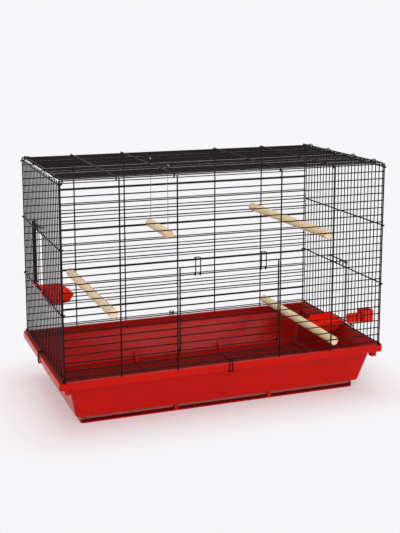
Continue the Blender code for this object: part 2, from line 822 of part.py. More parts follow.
def main():
    """Builds every piece."""
    start()
    black = paint("black_wire", (0.018, 0.016, 0.018), 0.35, 0.0)
    tray_red = paint("tray_red", (0.55, 0.015, 0.008), 0.3, 0.0)
    cup_red = paint("cup_red", (0.75, 0.02, 0.004), 0.3, 0.0)
    wood = paint("perch_wood", (0.8, 0.64, 0.4), 0.6, 0.0)
    steel = paint("plain_steel", (0.5, 0.5, 0.51), 0.35, 1.0)
    tray(tray_red)
    end_panel("front_panel", -1, True, black)
    end_panel("back_panel", 1, False, black)
    side_panel("left_side_panel", -1, left_feed_centre, 1, black)
    side_panel("right_side_panel", 1, right_feed_centre, 0, black)
    roof_panel(black)
    front_door(black)
    door_latch("door_latch_left", latch_places[0], black)
    door_latch("door_latch_right", latch_places[1], black)
    feed_door("left_feed_door", -1, left_feed_centre, 1, black)
    feed_door("right_feed_door", 1, right_feed_centre, 0, black)
    left_sizes, right_sizes = zip(cup_rim_lifts, cup_drops, cup_back_slopes)
    feeder_cup("left_feeder_cup", -1, left_feed_centre, 1, left_sizes, cup_red)
    feeder_cup("right_feeder_cup", 1, right_feed_centre, 0, right_sizes, cup_red)
    outer_cup(cup_red)
    for name, share, height, slant in zip(("perch_left", "perch_upper_right", "perch_lower_right"), perch_shares,
                                          perch_heights, perch_slants):
        perch(name, share, height, slant, wood)
    swing(steel, wood)
    end_clip("clip_front", -1, black)
    end_clip("clip_back", 1, black)
    side_clip("clip_left", -1, side_clip_place, black)
    side_clip("clip_right", 1, right_clip_place, black)
    centre_pieces()


main()
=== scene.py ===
"""Looks for a wire bird cage: coated wires, a moulded tray and cups, turned perches and a pale stage."""

import math

import bmesh
import bpy
import numpy as np
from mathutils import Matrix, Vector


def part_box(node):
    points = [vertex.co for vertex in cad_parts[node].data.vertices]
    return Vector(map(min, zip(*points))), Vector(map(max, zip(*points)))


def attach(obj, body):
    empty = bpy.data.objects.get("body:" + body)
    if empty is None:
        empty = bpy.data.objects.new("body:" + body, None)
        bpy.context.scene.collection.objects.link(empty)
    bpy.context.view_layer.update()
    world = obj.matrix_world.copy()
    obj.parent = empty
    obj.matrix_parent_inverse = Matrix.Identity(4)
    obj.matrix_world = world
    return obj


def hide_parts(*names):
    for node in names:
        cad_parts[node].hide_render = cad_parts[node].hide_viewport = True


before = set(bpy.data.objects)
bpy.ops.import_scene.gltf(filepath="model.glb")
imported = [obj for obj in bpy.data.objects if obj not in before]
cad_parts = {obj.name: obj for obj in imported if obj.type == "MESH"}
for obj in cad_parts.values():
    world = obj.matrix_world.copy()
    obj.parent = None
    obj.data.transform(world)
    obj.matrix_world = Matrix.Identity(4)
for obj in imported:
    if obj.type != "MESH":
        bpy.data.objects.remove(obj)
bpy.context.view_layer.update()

bl_info = {
    "name": "Bird cage looks",
    "version": (1, 0, 0),
    "blender": (4, 5, 0),
    "location": "3D View > Sidebar > Bird cage",
    "description": "Builds the wires, tray, cups, perches and clips of a bird cage, and its stage",
    "category": "Object",
}

tray_low, tray_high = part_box("tray")
shift_x = (tray_low.x + tray_high.x) / 2
tray_half_x = (tray_high.x - tray_low.x) / 2
tray_half_y = (tray_high.y - tray_low.y) / 2
tray_height = tray_high.z

# Degrees past which an edge stays sharp
wire_sharp = 60
cup_sharp = 40
wood_sharp = 50
tray_sharp = 32

# Turns of hooks and loops, and their steps
half_turn = math.pi
quarter_turn = math.pi / 2
loop_turn = math.radians(250)
side_clip_turn = math.radians(160)
hook_steps = 16
loop_steps = 28

# Wire box, in metres like every size here
cage_length = 0.587
cage_depth = 0.312
cage_height = 0.325
grille_lift = 0.002
row_pitch = 0.013
side_pitch = 0.0125
first_row_height = 0.0046
weld_seat = 0.00025
wire_gap = 0.0003
wire_end = 0.0013
side_wire_inset = 0.002
side_row_inset = 0.006
bay_shares = (-0.3313, -0.1632, 0.1567, 0.3284)
rail_heights = (0.0, 0.1125, 0.2191)
top_rail_drop = 0.0052
lifted_shares = (1 / 12, 1 / 3, 2 / 3, 11 / 12)
opening_lip = 0.001
roof_edge_inset = 0.0068
roof_end_gap = 0.0005
roof_shifts = (0.0047, 0.0055, 0.0029, 0.0029)
roof_waver = 0.0002
roof_waver_turn = 2.4

# Shares of a wire's radius where a wire looks finer, and the form of tips and welds
upright_share = 0.93
feed_wire_share = 0.74
clip_share = 0.7
hanger_share = 0.7
tip_length_share = 0.35
tip_radius_share = 0.65
weld_flatness = 0.55
weld_sides = 8
weld_angles = (-62, -22, 22, 62)
merge_distance = 0.000002

# Front door and latches
door_bottom_height = 0.0306
door_top_height = 0.1736
door_side_gap = 0.004
door_row_overhang = 0.00125
latch_places = (-0.06, 0.06)
latch_half_width = 0.0045
latch_reach = 0.002
latch_bend = 0.0009

# Feed doors: place along y, and which rail carries the opening's lower edge
feed_width = 0.0625
feed_places = {"left": 0.01875, "right": 0.00625}
feed_rails = {"left": 1, "right": 0}
feed_wire_gap = 0.0045
feed_wire_count = 5
feed_bar_lift = 0.0068
feed_handle_lift = 0.01
feed_loop_radius = 0.0028
feed_weld_seat = 0.0005

# Feeder cups: how far the rim stands above the rail, the foot below it, and the back's run
cup_sizes = {"left": (0.001, 0.0225, 0.009), "right": (0.008, 0.014, 0.0145)}
cup_width = 0.059
cup_reach = 0.055
cup_wall = 0.002
cup_nose_width = 0.04
cup_nose_length = 0.016
cup_nose_drop = 0.01
cup_knee_lift = 0.0005
cup_foot_slope = 0.009
cup_side_slope = 0.004
cup_floor_share = 0.7
cup_lip_round = 0.00085
tab_columns = 2
tab_half_width = 0.004
tab_lip = 0.00175
tab_drop = 0.001
tab_root = 0.003
tab_seat = 0.0005
tab_bend = 0.0004

# Drinker cup
drinker_place = -0.06875
drinker_gap = 0.0055
drinker_lift = 0.0172
drinker_half_width = 0.012
drinker_depth = 0.0225
drinker_tall = 0.0228
drinker_wall = 0.0016
drinker_end_share = 0.9
drinker_corner = 0.0022
drinker_hollow_corner = 0.0014
drinker_edge_round = 0.0006
neck_lift = 0.0005
neck_tall = 0.016
neck_inside = 0.0179

# Perches: share of the cage's length, height above the rail, and run along x per run along y
perch_places = {"left": (-0.351, 0.1086, 0.0), "upper_right": (0.304, 0.2126, -0.042),
                "lower_right": (0.342, 0.0176, 0.0)}
perch_wire_gap = 0.00125
bar_sides = 40
bar_stations = 49
bar_end_share = 0.35
bar_shrink = 0.006
slow_swell = 0.004
slow_turn = 41
fast_swell = 0.002
fast_turn = 97
bar_seed_step = 1.7

# Swing
swing_share = -0.13
swing_hang_share = 1 / 6
swing_clearance = 0.0005
swing_drop = 0.11955
swing_seat = 0.00175
swing_bend = 0.0006
swing_overhang = 0.006
swing_bar_seed = 5.2

# Clips
clip_half_width = 0.00275
clip_bend = 0.0006
clip_fold = 0.0016
clip_hook_inset = 0.003
side_clip_places = {"left": 0.00625, "right": -0.04375}
side_clip_hook = 0.005
side_clip_gap = 0.0009

# Tray, with pairs along x and y
rim_height = 0.0125
rim_width = (0.0105, 0.0075)
tray_wall = 0.0025
wall_top_inset = (0.019, 0.012)
wall_foot_inset = (0.033, 0.03)
skirt_inset = (0.042, 0.035)
skirt_thickness = 0.0065
skirt_height = 0.013
floor_height = 0.0105
floor_step = 0.006
rib_place = 0.088
rib_width = 0.003
rib_height = 0.0035
rib_rise = 0.012
rib_foot = 0.003
lug_inset = (0.01, 0.006)
lug_width = 0.01
lug_depth = 0.012
lug_height = 0.0095
lug_round = 0.0008
window_depth = 0.004
window_bottom = 0.0025
window_top = 0.0122
window_end = 0.0035
tray_corner_steps = 12

# How far a form that is joined or cut runs past the skin
overlap = 0.001

# Heights and half sizes that follow from these
rim_bottom = tray_height - rim_height
ledge_height = skirt_height + tray_wall
wall_top_half = (tray_half_x - wall_top_inset[0], tray_half_y - wall_top_inset[1])
wall_foot_half = (tray_half_x - wall_foot_inset[0], tray_half_y - wall_foot_inset[1])
skirt_half = (tray_half_x - skirt_inset[0], tray_half_y - skirt_inset[1])
floor_half = (skirt_half[0] - skirt_thickness, skirt_half[1] - skirt_thickness)
window_back = skirt_half[1] - window_depth

# Finishes: lowest and highest roughness of a plastic, its dust, the painted shade on the tray's inner walls
# and in the skirt's windows, and where the pith lies beside a wooden bar
tray_gloss = (0.24, 0.36)
tray_dust = 0.02
cup_gloss = (0.22, 0.34)
cup_dust = 0.05
# Share of the tray's red kept on its inner walls and rim slope, as painted shade
inner_shade_share = 0.56
window_shade_line = (0.0058, 0.0068)
window_shade_reach = (-0.0012, 0.0032)
ring_pitch = 0.0021
perch_pith = (-0.004, -0.011)
perch_pith_step = 0.003
grain_seed_step = 0.31
swing_pith = (0.003, -0.01)
swing_grain_seed = 1.4

# Colours of dust, of painted shade on the tray's floor and in its windows, and of the wood's grain and wear
wire_dust = (0.17, 0.15, 0.165)
plastic_dust = (0.40, 0.13, 0.10)
# Painted shade on the tray's floor and ledge
shaded_floor = (0.17, 0.014, 0.010)
# Painted shade in the skirt's windows: dark red at their foot and a dull band above
window_shade_foot = (0.10, 0.0006, 0.0008)
window_shade_band = (0.42, 0.12, 0.10)
late_wood = (0.80, 0.60, 0.34)
wood_pores = (0.70, 0.50, 0.28)
end_grain = (0.86, 0.62, 0.36)
handled_wood = (0.80, 0.61, 0.36)

# Stage: a lamp is its place, its aim, its width and its power
world_level = 0.47
floor_reach = 30.0
# Pink floor colour: a painted red bounce from the tray, seen where the floor is lit beside it
floor_bounce = (0.90, 0.74, 0.76)
shadow_centre = (-0.02, -0.005)
shadow_half = (0.257, 0.123)
shadow_fade = (0.01, 0.15)
shadow_least = 0.35
lamps = {
    "key_lamp": ((-1.3, -2.2, 2.3), (0, 0, 0.2), 1.4, 36),
    "sheen_lamp": ((0.95, -2.15, 0.62), (0, 0.1, 0.1), 0.7, 12),
    "top_lamp": ((0.2, 0.6, 2.6), (0, 0, 0.1), 1.8, 18),
    "edge_lamp": ((-2.3, 1.7, 1.0), (0, 0, 0.3), 1.0, 9),
}
camera_place = (-0.629, -1.686, 0.6525)
camera_tilt = 80
camera_heading = -20.52
camera_lens = 67.8
camera_sensor = 36
camera_shift = -0.114


class CageSizes(bpy.types.PropertyGroup):
    """Sizes that a user may change."""

    row_radius: bpy.props.FloatProperty(
        name="Grille wire radius", description="Radius of the thin grille wires", default=0.001,
        min=0.0002, max=0.003, precision=5, unit="LENGTH")
    frame_radius: bpy.props.FloatProperty(
        name="Frame wire radius", description="Radius of the wires that cross the rows", default=0.00125,
        min=0.0002, max=0.003, precision=5, unit="LENGTH")
    thin_radius: bpy.props.FloatProperty(
        name="Bent wire radius", description="Radius of the latch and swing wires", default=0.0009,
        min=0.0002, max=0.003, precision=5, unit="LENGTH")
    wire_sides: bpy.props.IntProperty(
        name="Wire sides", description="Faces round each wire", default=10, min=6, max=24)
    weld_reach: bpy.props.FloatProperty(
        name="Weld reach", description="How far the coat fills the corner round a weld", default=0.00145,
        min=0.0005, max=0.003, precision=5, unit="LENGTH")
    perch_radius: bpy.props.FloatProperty(
        name="Perch radius", description="Radius of the wooden bars", default=0.00775,
        min=0.003, max=0.012, precision=5, unit="LENGTH")
    perch_round: bpy.props.FloatProperty(
        name="Perch end round", description="Round-over at the ends of the wooden bars", default=0.0016,
        min=0.0002, max=0.004, precision=5, unit="LENGTH")
    tray_corner: bpy.props.FloatProperty(
        name="Tray corner", description="Corner radius of the tray seen from above", default=0.006,
        min=0.004, max=0.03, precision=4, unit="LENGTH")
    cup_corner: bpy.props.FloatProperty(
        name="Cup corner", description="Round of the feeder cup's upright edges", default=0.0028,
        min=0.0005, max=0.006, precision=5, unit="LENGTH")


class CageColours(bpy.types.PropertyGroup):
    """Colours that a user may change."""

    wire: bpy.props.FloatVectorProperty(
        name="Wire coat", description="Colour of the coated wires", subtype="COLOR", size=3,
        default=(0.0056, 0.0034, 0.0044), min=0, max=1)
    tray: bpy.props.FloatVectorProperty(
        name="Tray plastic", description="Colour of the tray", subtype="COLOR", size=3,
        default=(0.54, 0.0045, 0.0010), min=0, max=1)
    cup: bpy.props.FloatVectorProperty(
        name="Cup plastic", description="Colour of the cups", subtype="COLOR", size=3,
        default=(0.92, 0.021, 0.001), min=0, max=1)
    wood: bpy.props.FloatVectorProperty(
        name="Perch wood", description="Pale colour of the perches", subtype="COLOR", size=3,
        default=(0.97, 0.80, 0.50), min=0, max=1)
    steel: bpy.props.FloatVectorProperty(
        name="Swing steel", description="Colour of the swing's plain wire", subtype="COLOR", size=3,
        default=(0.60, 0.58, 0.58), min=0, max=1)
    backdrop: bpy.props.FloatVectorProperty(
        name="Backdrop", description="Colour of the floor and backdrop as the camera sees them",
        subtype="COLOR", size=3, default=(0.930, 0.915, 0.938), min=0, max=1)


class Layout:
    """Places worked out from the sizes: rows, uprights, rails and the roof."""

    def __init__(self, sizes):
        self.row_radius = sizes.row_radius
        self.frame_radius = sizes.frame_radius
        self.thin_radius = sizes.thin_radius
        self.sides = sizes.wire_sides
        self.half_length = cage_length / 2
        self.half_depth = cage_depth / 2
        self.base = tray_height + grille_lift
        self.weld = self.row_radius + self.frame_radius - weld_seat
        self.rows = round(cage_height / row_pitch)
        self.row_step = cage_height / self.rows
        self.row_y = self.half_depth - self.weld
        self.side_x = self.half_length - side_wire_inset
        self.side_half = self.half_depth - side_row_inset
        self.columns = round(2 * self.side_half / side_pitch)
        self.column_step = 2 * self.side_half / self.columns
        self.rail_loop = 2 * self.frame_radius + wire_gap
        self.post_x = self.half_length - self.rail_loop
        self.roof_hook = self.row_radius + self.frame_radius + wire_gap
        self.top_row = self.row_z(self.rows)
        self.roof_cross_z = self.top_row + self.roof_hook
        self.roof_row_z = self.roof_cross_z - self.weld
        self.roof_edge_x = self.half_length - roof_edge_inset
        self.roof_count = round(2 * self.row_y / row_pitch)
        self.roof_step = 2 * self.row_y / self.roof_count
        self.bays = [share * cage_length for share in bay_shares]
        self.door_left, self.door_right = self.bays[1:3]
        self.rails = [self.base + height for height in rail_heights] + [self.top_row - top_rail_drop]
        self.hinge_row = self.nearest_row(door_bottom_height)
        self.door_top_row = self.nearest_row(door_top_height)

    def row_z(self, row):
        """Height of a front or back wire, counted from the lowest."""
        return self.base + first_row_height + row * self.row_step

    def nearest_row(self, height):
        """The wire nearest to a height above the lowest rail."""
        return round((height - first_row_height) / self.row_step)

    def column_y(self, column):
        """Place along y of a side upright."""
        return -self.side_half + column * self.column_step

    def nearest_column(self, place):
        """The side upright nearest to a place along y."""
        return round((place + self.side_half) / self.column_step)

    def feed_columns(self, side):
        """First and last upright of a feed opening."""
        centre = feed_places[side]
        return self.nearest_column(centre - feed_width / 2), self.nearest_column(centre + feed_width / 2)


def length_of(vectors):
    """Lengths of an array of vectors, kept as a last axis of one."""
    return np.linalg.norm(vectors, axis=-1, keepdims=True)


def line(*points):
    """A path of straight parts."""
    return np.array(points, float)


def arc(centre, radius, begin, turn, plane, steps=hook_steps):
    """Points on an arc: the centre, plus the radius times the cosine of the angle along the plane's first
    axis and times its sine along the second."""
    angle = begin + turn * np.linspace(0, 1, steps + 1)
    points = np.tile(np.array(centre, float), (steps + 1, 1))
    points[:, "xyz".index(plane[0])] += radius * np.cos(angle)
    points[:, "xyz".index(plane[1])] += radius * np.sin(angle)
    return points


def hooked(near, far, radius, begin, turn, plane):
    """A path that hooks round two places: the arc round the first run backwards, then its mirror image round
    the second, which turns the other way."""
    first = arc(near, radius, begin, turn, plane)
    last = arc(far, radius, begin, -turn, plane)
    return np.concatenate([first[::-1], last])


def soften(points, reach, steps=4, closed=False):
    """Rounds the corners of a path, or of a stack of rings along its first axis: each corner c gives way to
    the parabola (1-t)^2 a + 2 t (1-t) c + t^2 b, where a and b lie on its two sides, the reach away from it
    or less on a short side."""
    points = np.asarray(points, float)
    if closed:
        points = np.concatenate([points[-1:], points, points[:1]])
    corner = points[1:-1]
    back = points[:-2] - corner
    ahead = points[2:] - corner
    back_length = np.maximum(length_of(back), 1e-9)
    ahead_length = np.maximum(length_of(ahead), 1e-9)
    near = np.minimum(reach, 0.45 * np.minimum(back_length, ahead_length))
    begin = corner + back / back_length * near
    end = corner + ahead / ahead_length * near
    t = np.linspace(0, 1, steps + 1).reshape((1, -1) + (1,) * (points.ndim - 1))
    bends = (1 - t) ** 2 * begin[:, None] + 2 * t * (1 - t) * corner[:, None] + t**2 * end[:, None]
    bends = bends.reshape((-1,) + points.shape[1:])
    return bends if closed else np.concatenate([points[:1], bends, points[-1:]])


def tube(path, radius, sides):
    """A wire: round each point of its path stands a ring, r cos(a) along one normal plus r sin(a) along the
    other, with the normals taken from one fixed direction that the path never follows. Its tips are
    smaller."""
    path = np.asarray(path, float)
    step = np.diff(path, axis=0)
    step /= length_of(step)
    tip = tip_length_share * radius
    first, last = path[0] + tip * step[0], path[-1] - tip * step[-1]
    path = np.vstack([path[0], first, path[1:-1], last, path[-1]])
    tangent = np.vstack([step[0], step[0], step[:-1] + step[1:], step[-1], step[-1]])
    tangent /= length_of(tangent)
    choices = np.array([(1, 0, 0), (0, 1, 0), (0, 0, 1), (1, 1, 1), (1, -1, 1)], float)
    choices /= length_of(choices)
    fixed = choices[np.argmin(np.abs(tangent @ choices.T).max(0))]
    normal = np.cross(tangent, fixed)
    normal /= length_of(normal)
    other = np.cross(tangent, normal)
    radii = np.full(len(path), radius)
    radii[[0, -1]] = tip_radius_share * radius
    angle = np.linspace(0, 2 * np.pi, sides, endpoint=False)[None, :, None]
    ring = np.cos(angle) * normal[:, None] + np.sin(angle) * other[:, None]
    return path[:, None] + radii[:, None, None] * ring


def crossings(first, second):
    """Every place of the second list with every place of the first, as two flat arrays."""
    first, second = np.meshgrid(first, second)
    return first.ravel(), second.ravel()


def welds(sizes, x, y, z, flat_axis):
    """Drops of coat at the welds: ellipsoids with points at (a cos u cos v, b sin u cos v, c sin v) on a
    small grid of u and v round each centre, whose poles are flat. They reach least along the flat axis."""
    u = np.linspace(0, 2 * np.pi, weld_sides, endpoint=False)[None, :]
    v = np.radians(weld_angles)[:, None]
    ball = np.stack([np.cos(u) * np.cos(v), np.sin(u) * np.cos(v), np.sin(v) + 0 * u], -1)
    half_sizes = np.full(3, sizes.weld_reach)
    half_sizes["xyz".index(flat_axis)] *= weld_flatness
    centres = np.stack(np.broadcast_arrays(x, y, z), -1)
    return centres[:, None, None] + ball[None] * half_sizes


def rounded_ring(half_x, half_y, height, radius, steps):
    """Rectangles with round corners, one for each value of the four arrays: the corner centres lie a radius
    inside, and each corner adds the radius times (cos a, sin a) over its quarter turn."""
    angle = np.concatenate([np.linspace(k, k + 1, steps + 1) * quarter_turn for k in range(4)])
    sign_x = np.repeat([1, -1, -1, 1], steps + 1)
    sign_y = np.repeat([1, 1, -1, -1], steps + 1)
    half_x, half_y, height, radius = (np.asarray(a, float)[:, None] for a in (half_x, half_y, height, radius))
    x = sign_x * (half_x - radius) + radius * np.cos(angle)
    y = sign_y * (half_y - radius) + radius * np.sin(angle)
    return np.stack([x, y, height + 0 * x], -1)


def lathe(profile, centre, sides):
    """A turned bar along y: profile holds (y, r), and a ring adds r cos(a) along x and r sin(a) along z."""
    profile = np.asarray(profile, float)
    angle = np.linspace(0, 2 * np.pi, sides, endpoint=False)[None, :]
    place, radius = profile[:, 0][:, None], profile[:, 1][:, None]
    x = centre[0] + radius * np.cos(angle)
    y = centre[1] + place + 0 * angle
    z = centre[2] + radius * np.sin(angle)
    return np.stack([x, y, z], -1)


def block(low, high, round_by=0.0):
    """A box between two corners, as two rings; with a round, its upright edges are softened."""
    low, high = np.minimum(low, high), np.maximum(low, high)
    ring = line((low[0], low[1]), (high[0], low[1]), (high[0], high[1]), (low[0], high[1]))
    if round_by:
        ring = soften(ring, round_by, 4, closed=True)
    return np.stack([np.column_stack([ring, np.full(len(ring), z)]) for z in (low[2], high[2])])


def push(outline, low, high, axis):
    """A flat outline pushed along x or y between two places, as two rings."""
    first, second = np.asarray(outline, float).T
    rings = []
    for place in (low, high):
        here = np.full(len(outline), place)
        rings.append(np.column_stack((here, first, second) if axis == "x" else (first, here, second)))
    return np.stack(rings)


def grid_mesh(name, shells):
    """One mesh from closed shells, each an array of rings of points or a stack of such arrays. Neighbouring
    rings are joined by quads all round, and the first and last ring are closed by a flat face."""
    points, faces, count = [], [], 0
    for shell in shells:
        stack = shell[None] if shell.ndim == 3 else shell
        copies, rings, ring_points = stack.shape[:3]
        size = rings * ring_points
        row = np.arange(rings - 1)[:, None] * ring_points
        here = np.arange(ring_points)[None, :]
        after = (here + 1) % ring_points
        quads = np.stack([row + here, row + after, row + ring_points + after, row + ring_points + here], -1)
        starts = count + np.arange(copies) * size
        faces.extend((starts[:, None, None] + quads.reshape(1, -1, 4)).reshape(-1, 4).tolist())
        faces.extend((starts[:, None] + np.arange(ring_points)[None, ::-1]).tolist())
        faces.extend((starts[:, None] + size - ring_points + np.arange(ring_points)[None]).tolist())
        points.append(stack.reshape(-1, 3))
        count += copies * size
    points = np.concatenate(points)
    points[:, 0] += shift_x
    mesh = bpy.data.meshes.new(name)
    mesh.from_pydata(points.tolist(), [], faces)
    work = bmesh.new()
    work.from_mesh(mesh)
    bmesh.ops.recalc_face_normals(work, faces=work.faces)
    work.to_mesh(mesh)
    work.free()
    return mesh


def carved_mesh(name, shells, steps):
    """A mesh of closed shells that others are joined to or cut from, one after another, and baked."""
    collection = bpy.context.scene.collection
    body = bpy.data.objects.new(name, grid_mesh(name, shells))
    collection.objects.link(body)
    tools = []
    for index, (operation, tool_shells) in enumerate(steps):
        tool = bpy.data.objects.new(f"{name}_tool_{index}", grid_mesh(f"{name}_tool_{index}", tool_shells))
        collection.objects.link(tool)
        tools.append(tool)
        carve = body.modifiers.new(tool.name, "BOOLEAN")
        carve.operation = operation
        carve.solver = "EXACT"
        carve.object = tool
    graph = bpy.context.evaluated_depsgraph_get()
    mesh = bpy.data.meshes.new_from_object(body.evaluated_get(graph))
    for item in [body, *tools]:
        old = item.data
        bpy.data.objects.remove(item, do_unlink=True)
        bpy.data.meshes.remove(old)
    work = bmesh.new()
    work.from_mesh(mesh)
    bmesh.ops.remove_doubles(work, verts=work.verts, dist=merge_distance)
    bmesh.ops.dissolve_degenerate(work, edges=work.edges, dist=merge_distance)
    work.to_mesh(mesh)
    work.free()
    mesh.name = name
    return mesh


def piece(name, mesh, material, body, node, sharp):
    """Puts a finished mesh into the scene: its shading, material and body, and the CAD node it stands for."""
    mesh.shade_smooth()
    mesh.set_sharp_from_angle(angle=math.radians(sharp))
    mesh.materials.clear()
    mesh.materials.append(material)
    item = bpy.data.objects.new(name, mesh)
    bpy.context.scene.collection.objects.link(item)
    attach(item, body)
    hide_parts(node)


def wire_piece(context, name, shells, body, node):
    """A finished piece of wires in their black coat."""
    piece(name, grid_mesh(name, shells), black_coat(context), body, node, wire_sharp)


def put(tree, kind, inputs=None, **settings):
    """Adds a shader node, sets its plain values and links the sockets it reads."""
    item = tree.nodes.new("ShaderNode" + kind)
    for key, value in settings.items():
        setattr(item, key, value)
    for key, value in (inputs or {}).items():
        socket = item.inputs[key]
        if isinstance(value, bpy.types.NodeSocket):
            tree.links.new(value, socket)
        else:
            socket.default_value = value
    return item


def maths(tree, operation, *values):
    """What a Math node makes of its inputs, given in order."""
    return put(tree, "Math", dict(enumerate(values)), operation=operation).outputs[0]


def vector_maths(tree, operation, *values):
    """What a Vector Math node makes of its inputs, given in order: a number for a length, else a vector."""
    item = put(tree, "VectorMath", dict(enumerate(values)), operation=operation)
    return item.outputs["Value" if operation == "LENGTH" else "Vector"]


def ramp(tree, value, low, high, begin=0.0, end=1.0, **settings):
    """A value carried from the span low to high over to the span begin to end, and held beyond both ends."""
    item = put(tree, "MapRange", {"Value": value, 1: low, 2: high, 3: begin, 4: end}, **settings)
    return item.outputs["Result"]


def noise(tree, place, scale, detail, roughness=0.5):
    """Noise over a place, as a number between 0 and 1."""
    item = put(tree, "TexNoise", {"Vector": place, "Scale": scale, "Detail": detail, "Roughness": roughness})
    return item.outputs["Fac"]


def object_place(tree):
    """A point's place on its object."""
    return put(tree, "TexCoord").outputs["Object"]


def parts_of(tree, vector):
    """The sockets X, Y and Z of a vector."""
    return put(tree, "SeparateXYZ", {0: vector}).outputs


def normal_parts(tree):
    """The sockets X, Y and Z of the surface's normal."""
    return parts_of(tree, put(tree, "NewGeometry").outputs["Normal"])


def mix_colour(tree, factor, first, second):
    """A colour between two others."""
    item = put(tree, "Mix", {0: factor}, data_type="RGBA")
    for index, value in ((6, first), (7, second)):
        if isinstance(value, bpy.types.NodeSocket):
            tree.links.new(value, item.inputs[index])
        else:
            item.inputs[index].default_value = (*value, 1.0)
    return item.outputs[2]


def group_tree(name, inputs, outputs):
    """An empty node group with named number inputs and outputs."""
    tree = bpy.data.node_groups.new(name, "ShaderNodeTree")
    for label, value in inputs.items():
        socket = tree.interface.new_socket(name=label, in_out="INPUT", socket_type="NodeSocketFloat")
        socket.default_value = value
    for label in outputs:
        tree.interface.new_socket(name=label, in_out="OUTPUT", socket_type="NodeSocketFloat")
    given = tree.nodes.new("NodeGroupInput")
    result = tree.nodes.new("NodeGroupOutput")
    return tree, given, result


def mottle_group():
    """Slow cloudy change over a surface, from Low to High."""
    if "mottle" in bpy.data.node_groups:
        return bpy.data.node_groups["mottle"]
    tree, given, result = group_tree("mottle", {"Scale": 20, "Detail": 4, "Low": 0, "High": 1}, ["Value"])
    cloud = noise(tree, object_place(tree), given.outputs["Scale"], given.outputs["Detail"], 0.55)
    spread = ramp(tree, cloud, 0.3, 0.7, given.outputs["Low"], given.outputs["High"])
    tree.links.new(spread, result.inputs["Value"])
    return tree


def dust_group():
    """Fine dust that settles on what faces up: the surface's upward share times a broken noise."""
    if "dust" in bpy.data.node_groups:
        return bpy.data.node_groups["dust"]
    tree, given, result = group_tree("dust", {"Scale": 90, "Amount": 0.3}, ["Mask"])
    broken = ramp(tree, noise(tree, object_place(tree), given.outputs["Scale"], 6, 0.7), 0.42, 0.72)
    upward = ramp(tree, normal_parts(tree)["Z"], 0.25, 0.95)
    share = maths(tree, "MULTIPLY", maths(tree, "MULTIPLY", broken, upward), given.outputs["Amount"])
    tree.links.new(share, result.inputs["Mask"])
    return tree


def scratch_group():
    """Short thin scuffs: two stretched noises, each cut to its narrow middle band, kept in some patches."""
    if "scuffs" in bpy.data.node_groups:
        return bpy.data.node_groups["scuffs"]
    tree, given, result = group_tree("scuffs", {"Scale": 60, "Stretch": 14, "Width": 0.02}, ["Mask"])
    place = object_place(tree)
    masks = []
    for turn in ((0.2, 0.4, 0.9), (1.3, -0.5, -0.4)):
        stretch = put(tree, "CombineXYZ", {0: 1.0, 1: given.outputs["Stretch"], 2: given.outputs["Stretch"]})
        lay = put(tree, "Mapping", {"Vector": place, "Rotation": turn, "Scale": stretch.outputs[0]})
        off = maths(tree, "SUBTRACT", noise(tree, lay.outputs[0], given.outputs["Scale"], 2), 0.5)
        masks.append(ramp(tree, maths(tree, "ABSOLUTE", off), 0.0, given.outputs["Width"], 1.0, 0.0))
    patches = ramp(tree, noise(tree, place, 14.0, 2), 0.5, 0.68)
    cut = maths(tree, "MULTIPLY", maths(tree, "MAXIMUM", *masks), patches)
    tree.links.new(cut, result.inputs["Mask"])
    return tree


def grain_group():
    """Wood grain for a bar along y: rings from the distance to the pith, which lies beside the bar's middle,
    bent by noise, and fine pores drawn out along the bar."""
    if "wood_grain" in bpy.data.node_groups:
        return bpy.data.node_groups["wood_grain"]
    inputs = {"Pith X": 0, "Pith Z": 0, "Ring Pitch": 0.0016, "Seed": 0}
    tree, given, result = group_tree("wood_grain", inputs, ["Rings", "Pores", "Height"])
    pith = put(tree, "CombineXYZ", {0: given.outputs["Pith X"], 1: given.outputs["Seed"],
                                    2: given.outputs["Pith Z"]})
    local = vector_maths(tree, "SUBTRACT", object_place(tree), pith.outputs[0])
    flat = vector_maths(tree, "MULTIPLY", local, (1.0, 0.04, 1.0))
    parts = parts_of(tree, flat)
    across = put(tree, "CombineXYZ", {0: parts["X"], 1: 0.0, 2: parts["Z"]})
    distance = vector_maths(tree, "LENGTH", across.outputs[0])
    pushed = maths(tree, "MULTIPLY_ADD", noise(tree, flat, 130.0, 3), 0.0022, distance)
    saw = maths(tree, "FRACT", maths(tree, "DIVIDE", pushed, given.outputs["Ring Pitch"]))
    early = ramp(tree, saw, 0.25, 0.92, interpolation_type="SMOOTHSTEP")
    rings = maths(tree, "MULTIPLY", early, ramp(tree, saw, 0.93, 1.0, 1.0, 0.0))
    drawn = vector_maths(tree, "MULTIPLY", local, (1.0, 0.03, 1.0))
    dark = ramp(tree, noise(tree, drawn, 2600.0, 3, 0.6), 0.52, 0.75)
    relief = maths(tree, "MULTIPLY_ADD", dark, -0.6, rings)
    tree.links.new(rings, result.inputs["Rings"])
    tree.links.new(dark, result.inputs["Pores"])
    tree.links.new(relief, result.inputs["Height"])
    return tree


def use_group(tree, group, **values):
    """Places a node group in a material with its own values."""
    item = tree.nodes.new("ShaderNodeGroup")
    item.node_tree = group
    for key, value in values.items():
        item.inputs[key.replace("_", " ")].default_value = value
    return item


def start_material(name, **plain):
    """A Principled material with the values that are the same all over it."""
    material = bpy.data.materials.new(name)
    material.use_nodes = True
    tree = material.node_tree
    shader = tree.nodes["Principled BSDF"]
    for key, value in plain.items():
        shader.inputs[key.replace("_", " ")].default_value = value
    return material, tree, shader


def tinted(colour, factor):
    """A colour made lighter or darker."""
    return tuple(min(1.0, channel * factor) for channel in colour)


def clouds(tree, scale, detail, low=0, high=1):
    """The mottle group placed with its own scale and span."""
    return use_group(tree, mottle_group(), Scale=scale, Detail=detail, Low=low, High=high).outputs["Value"]


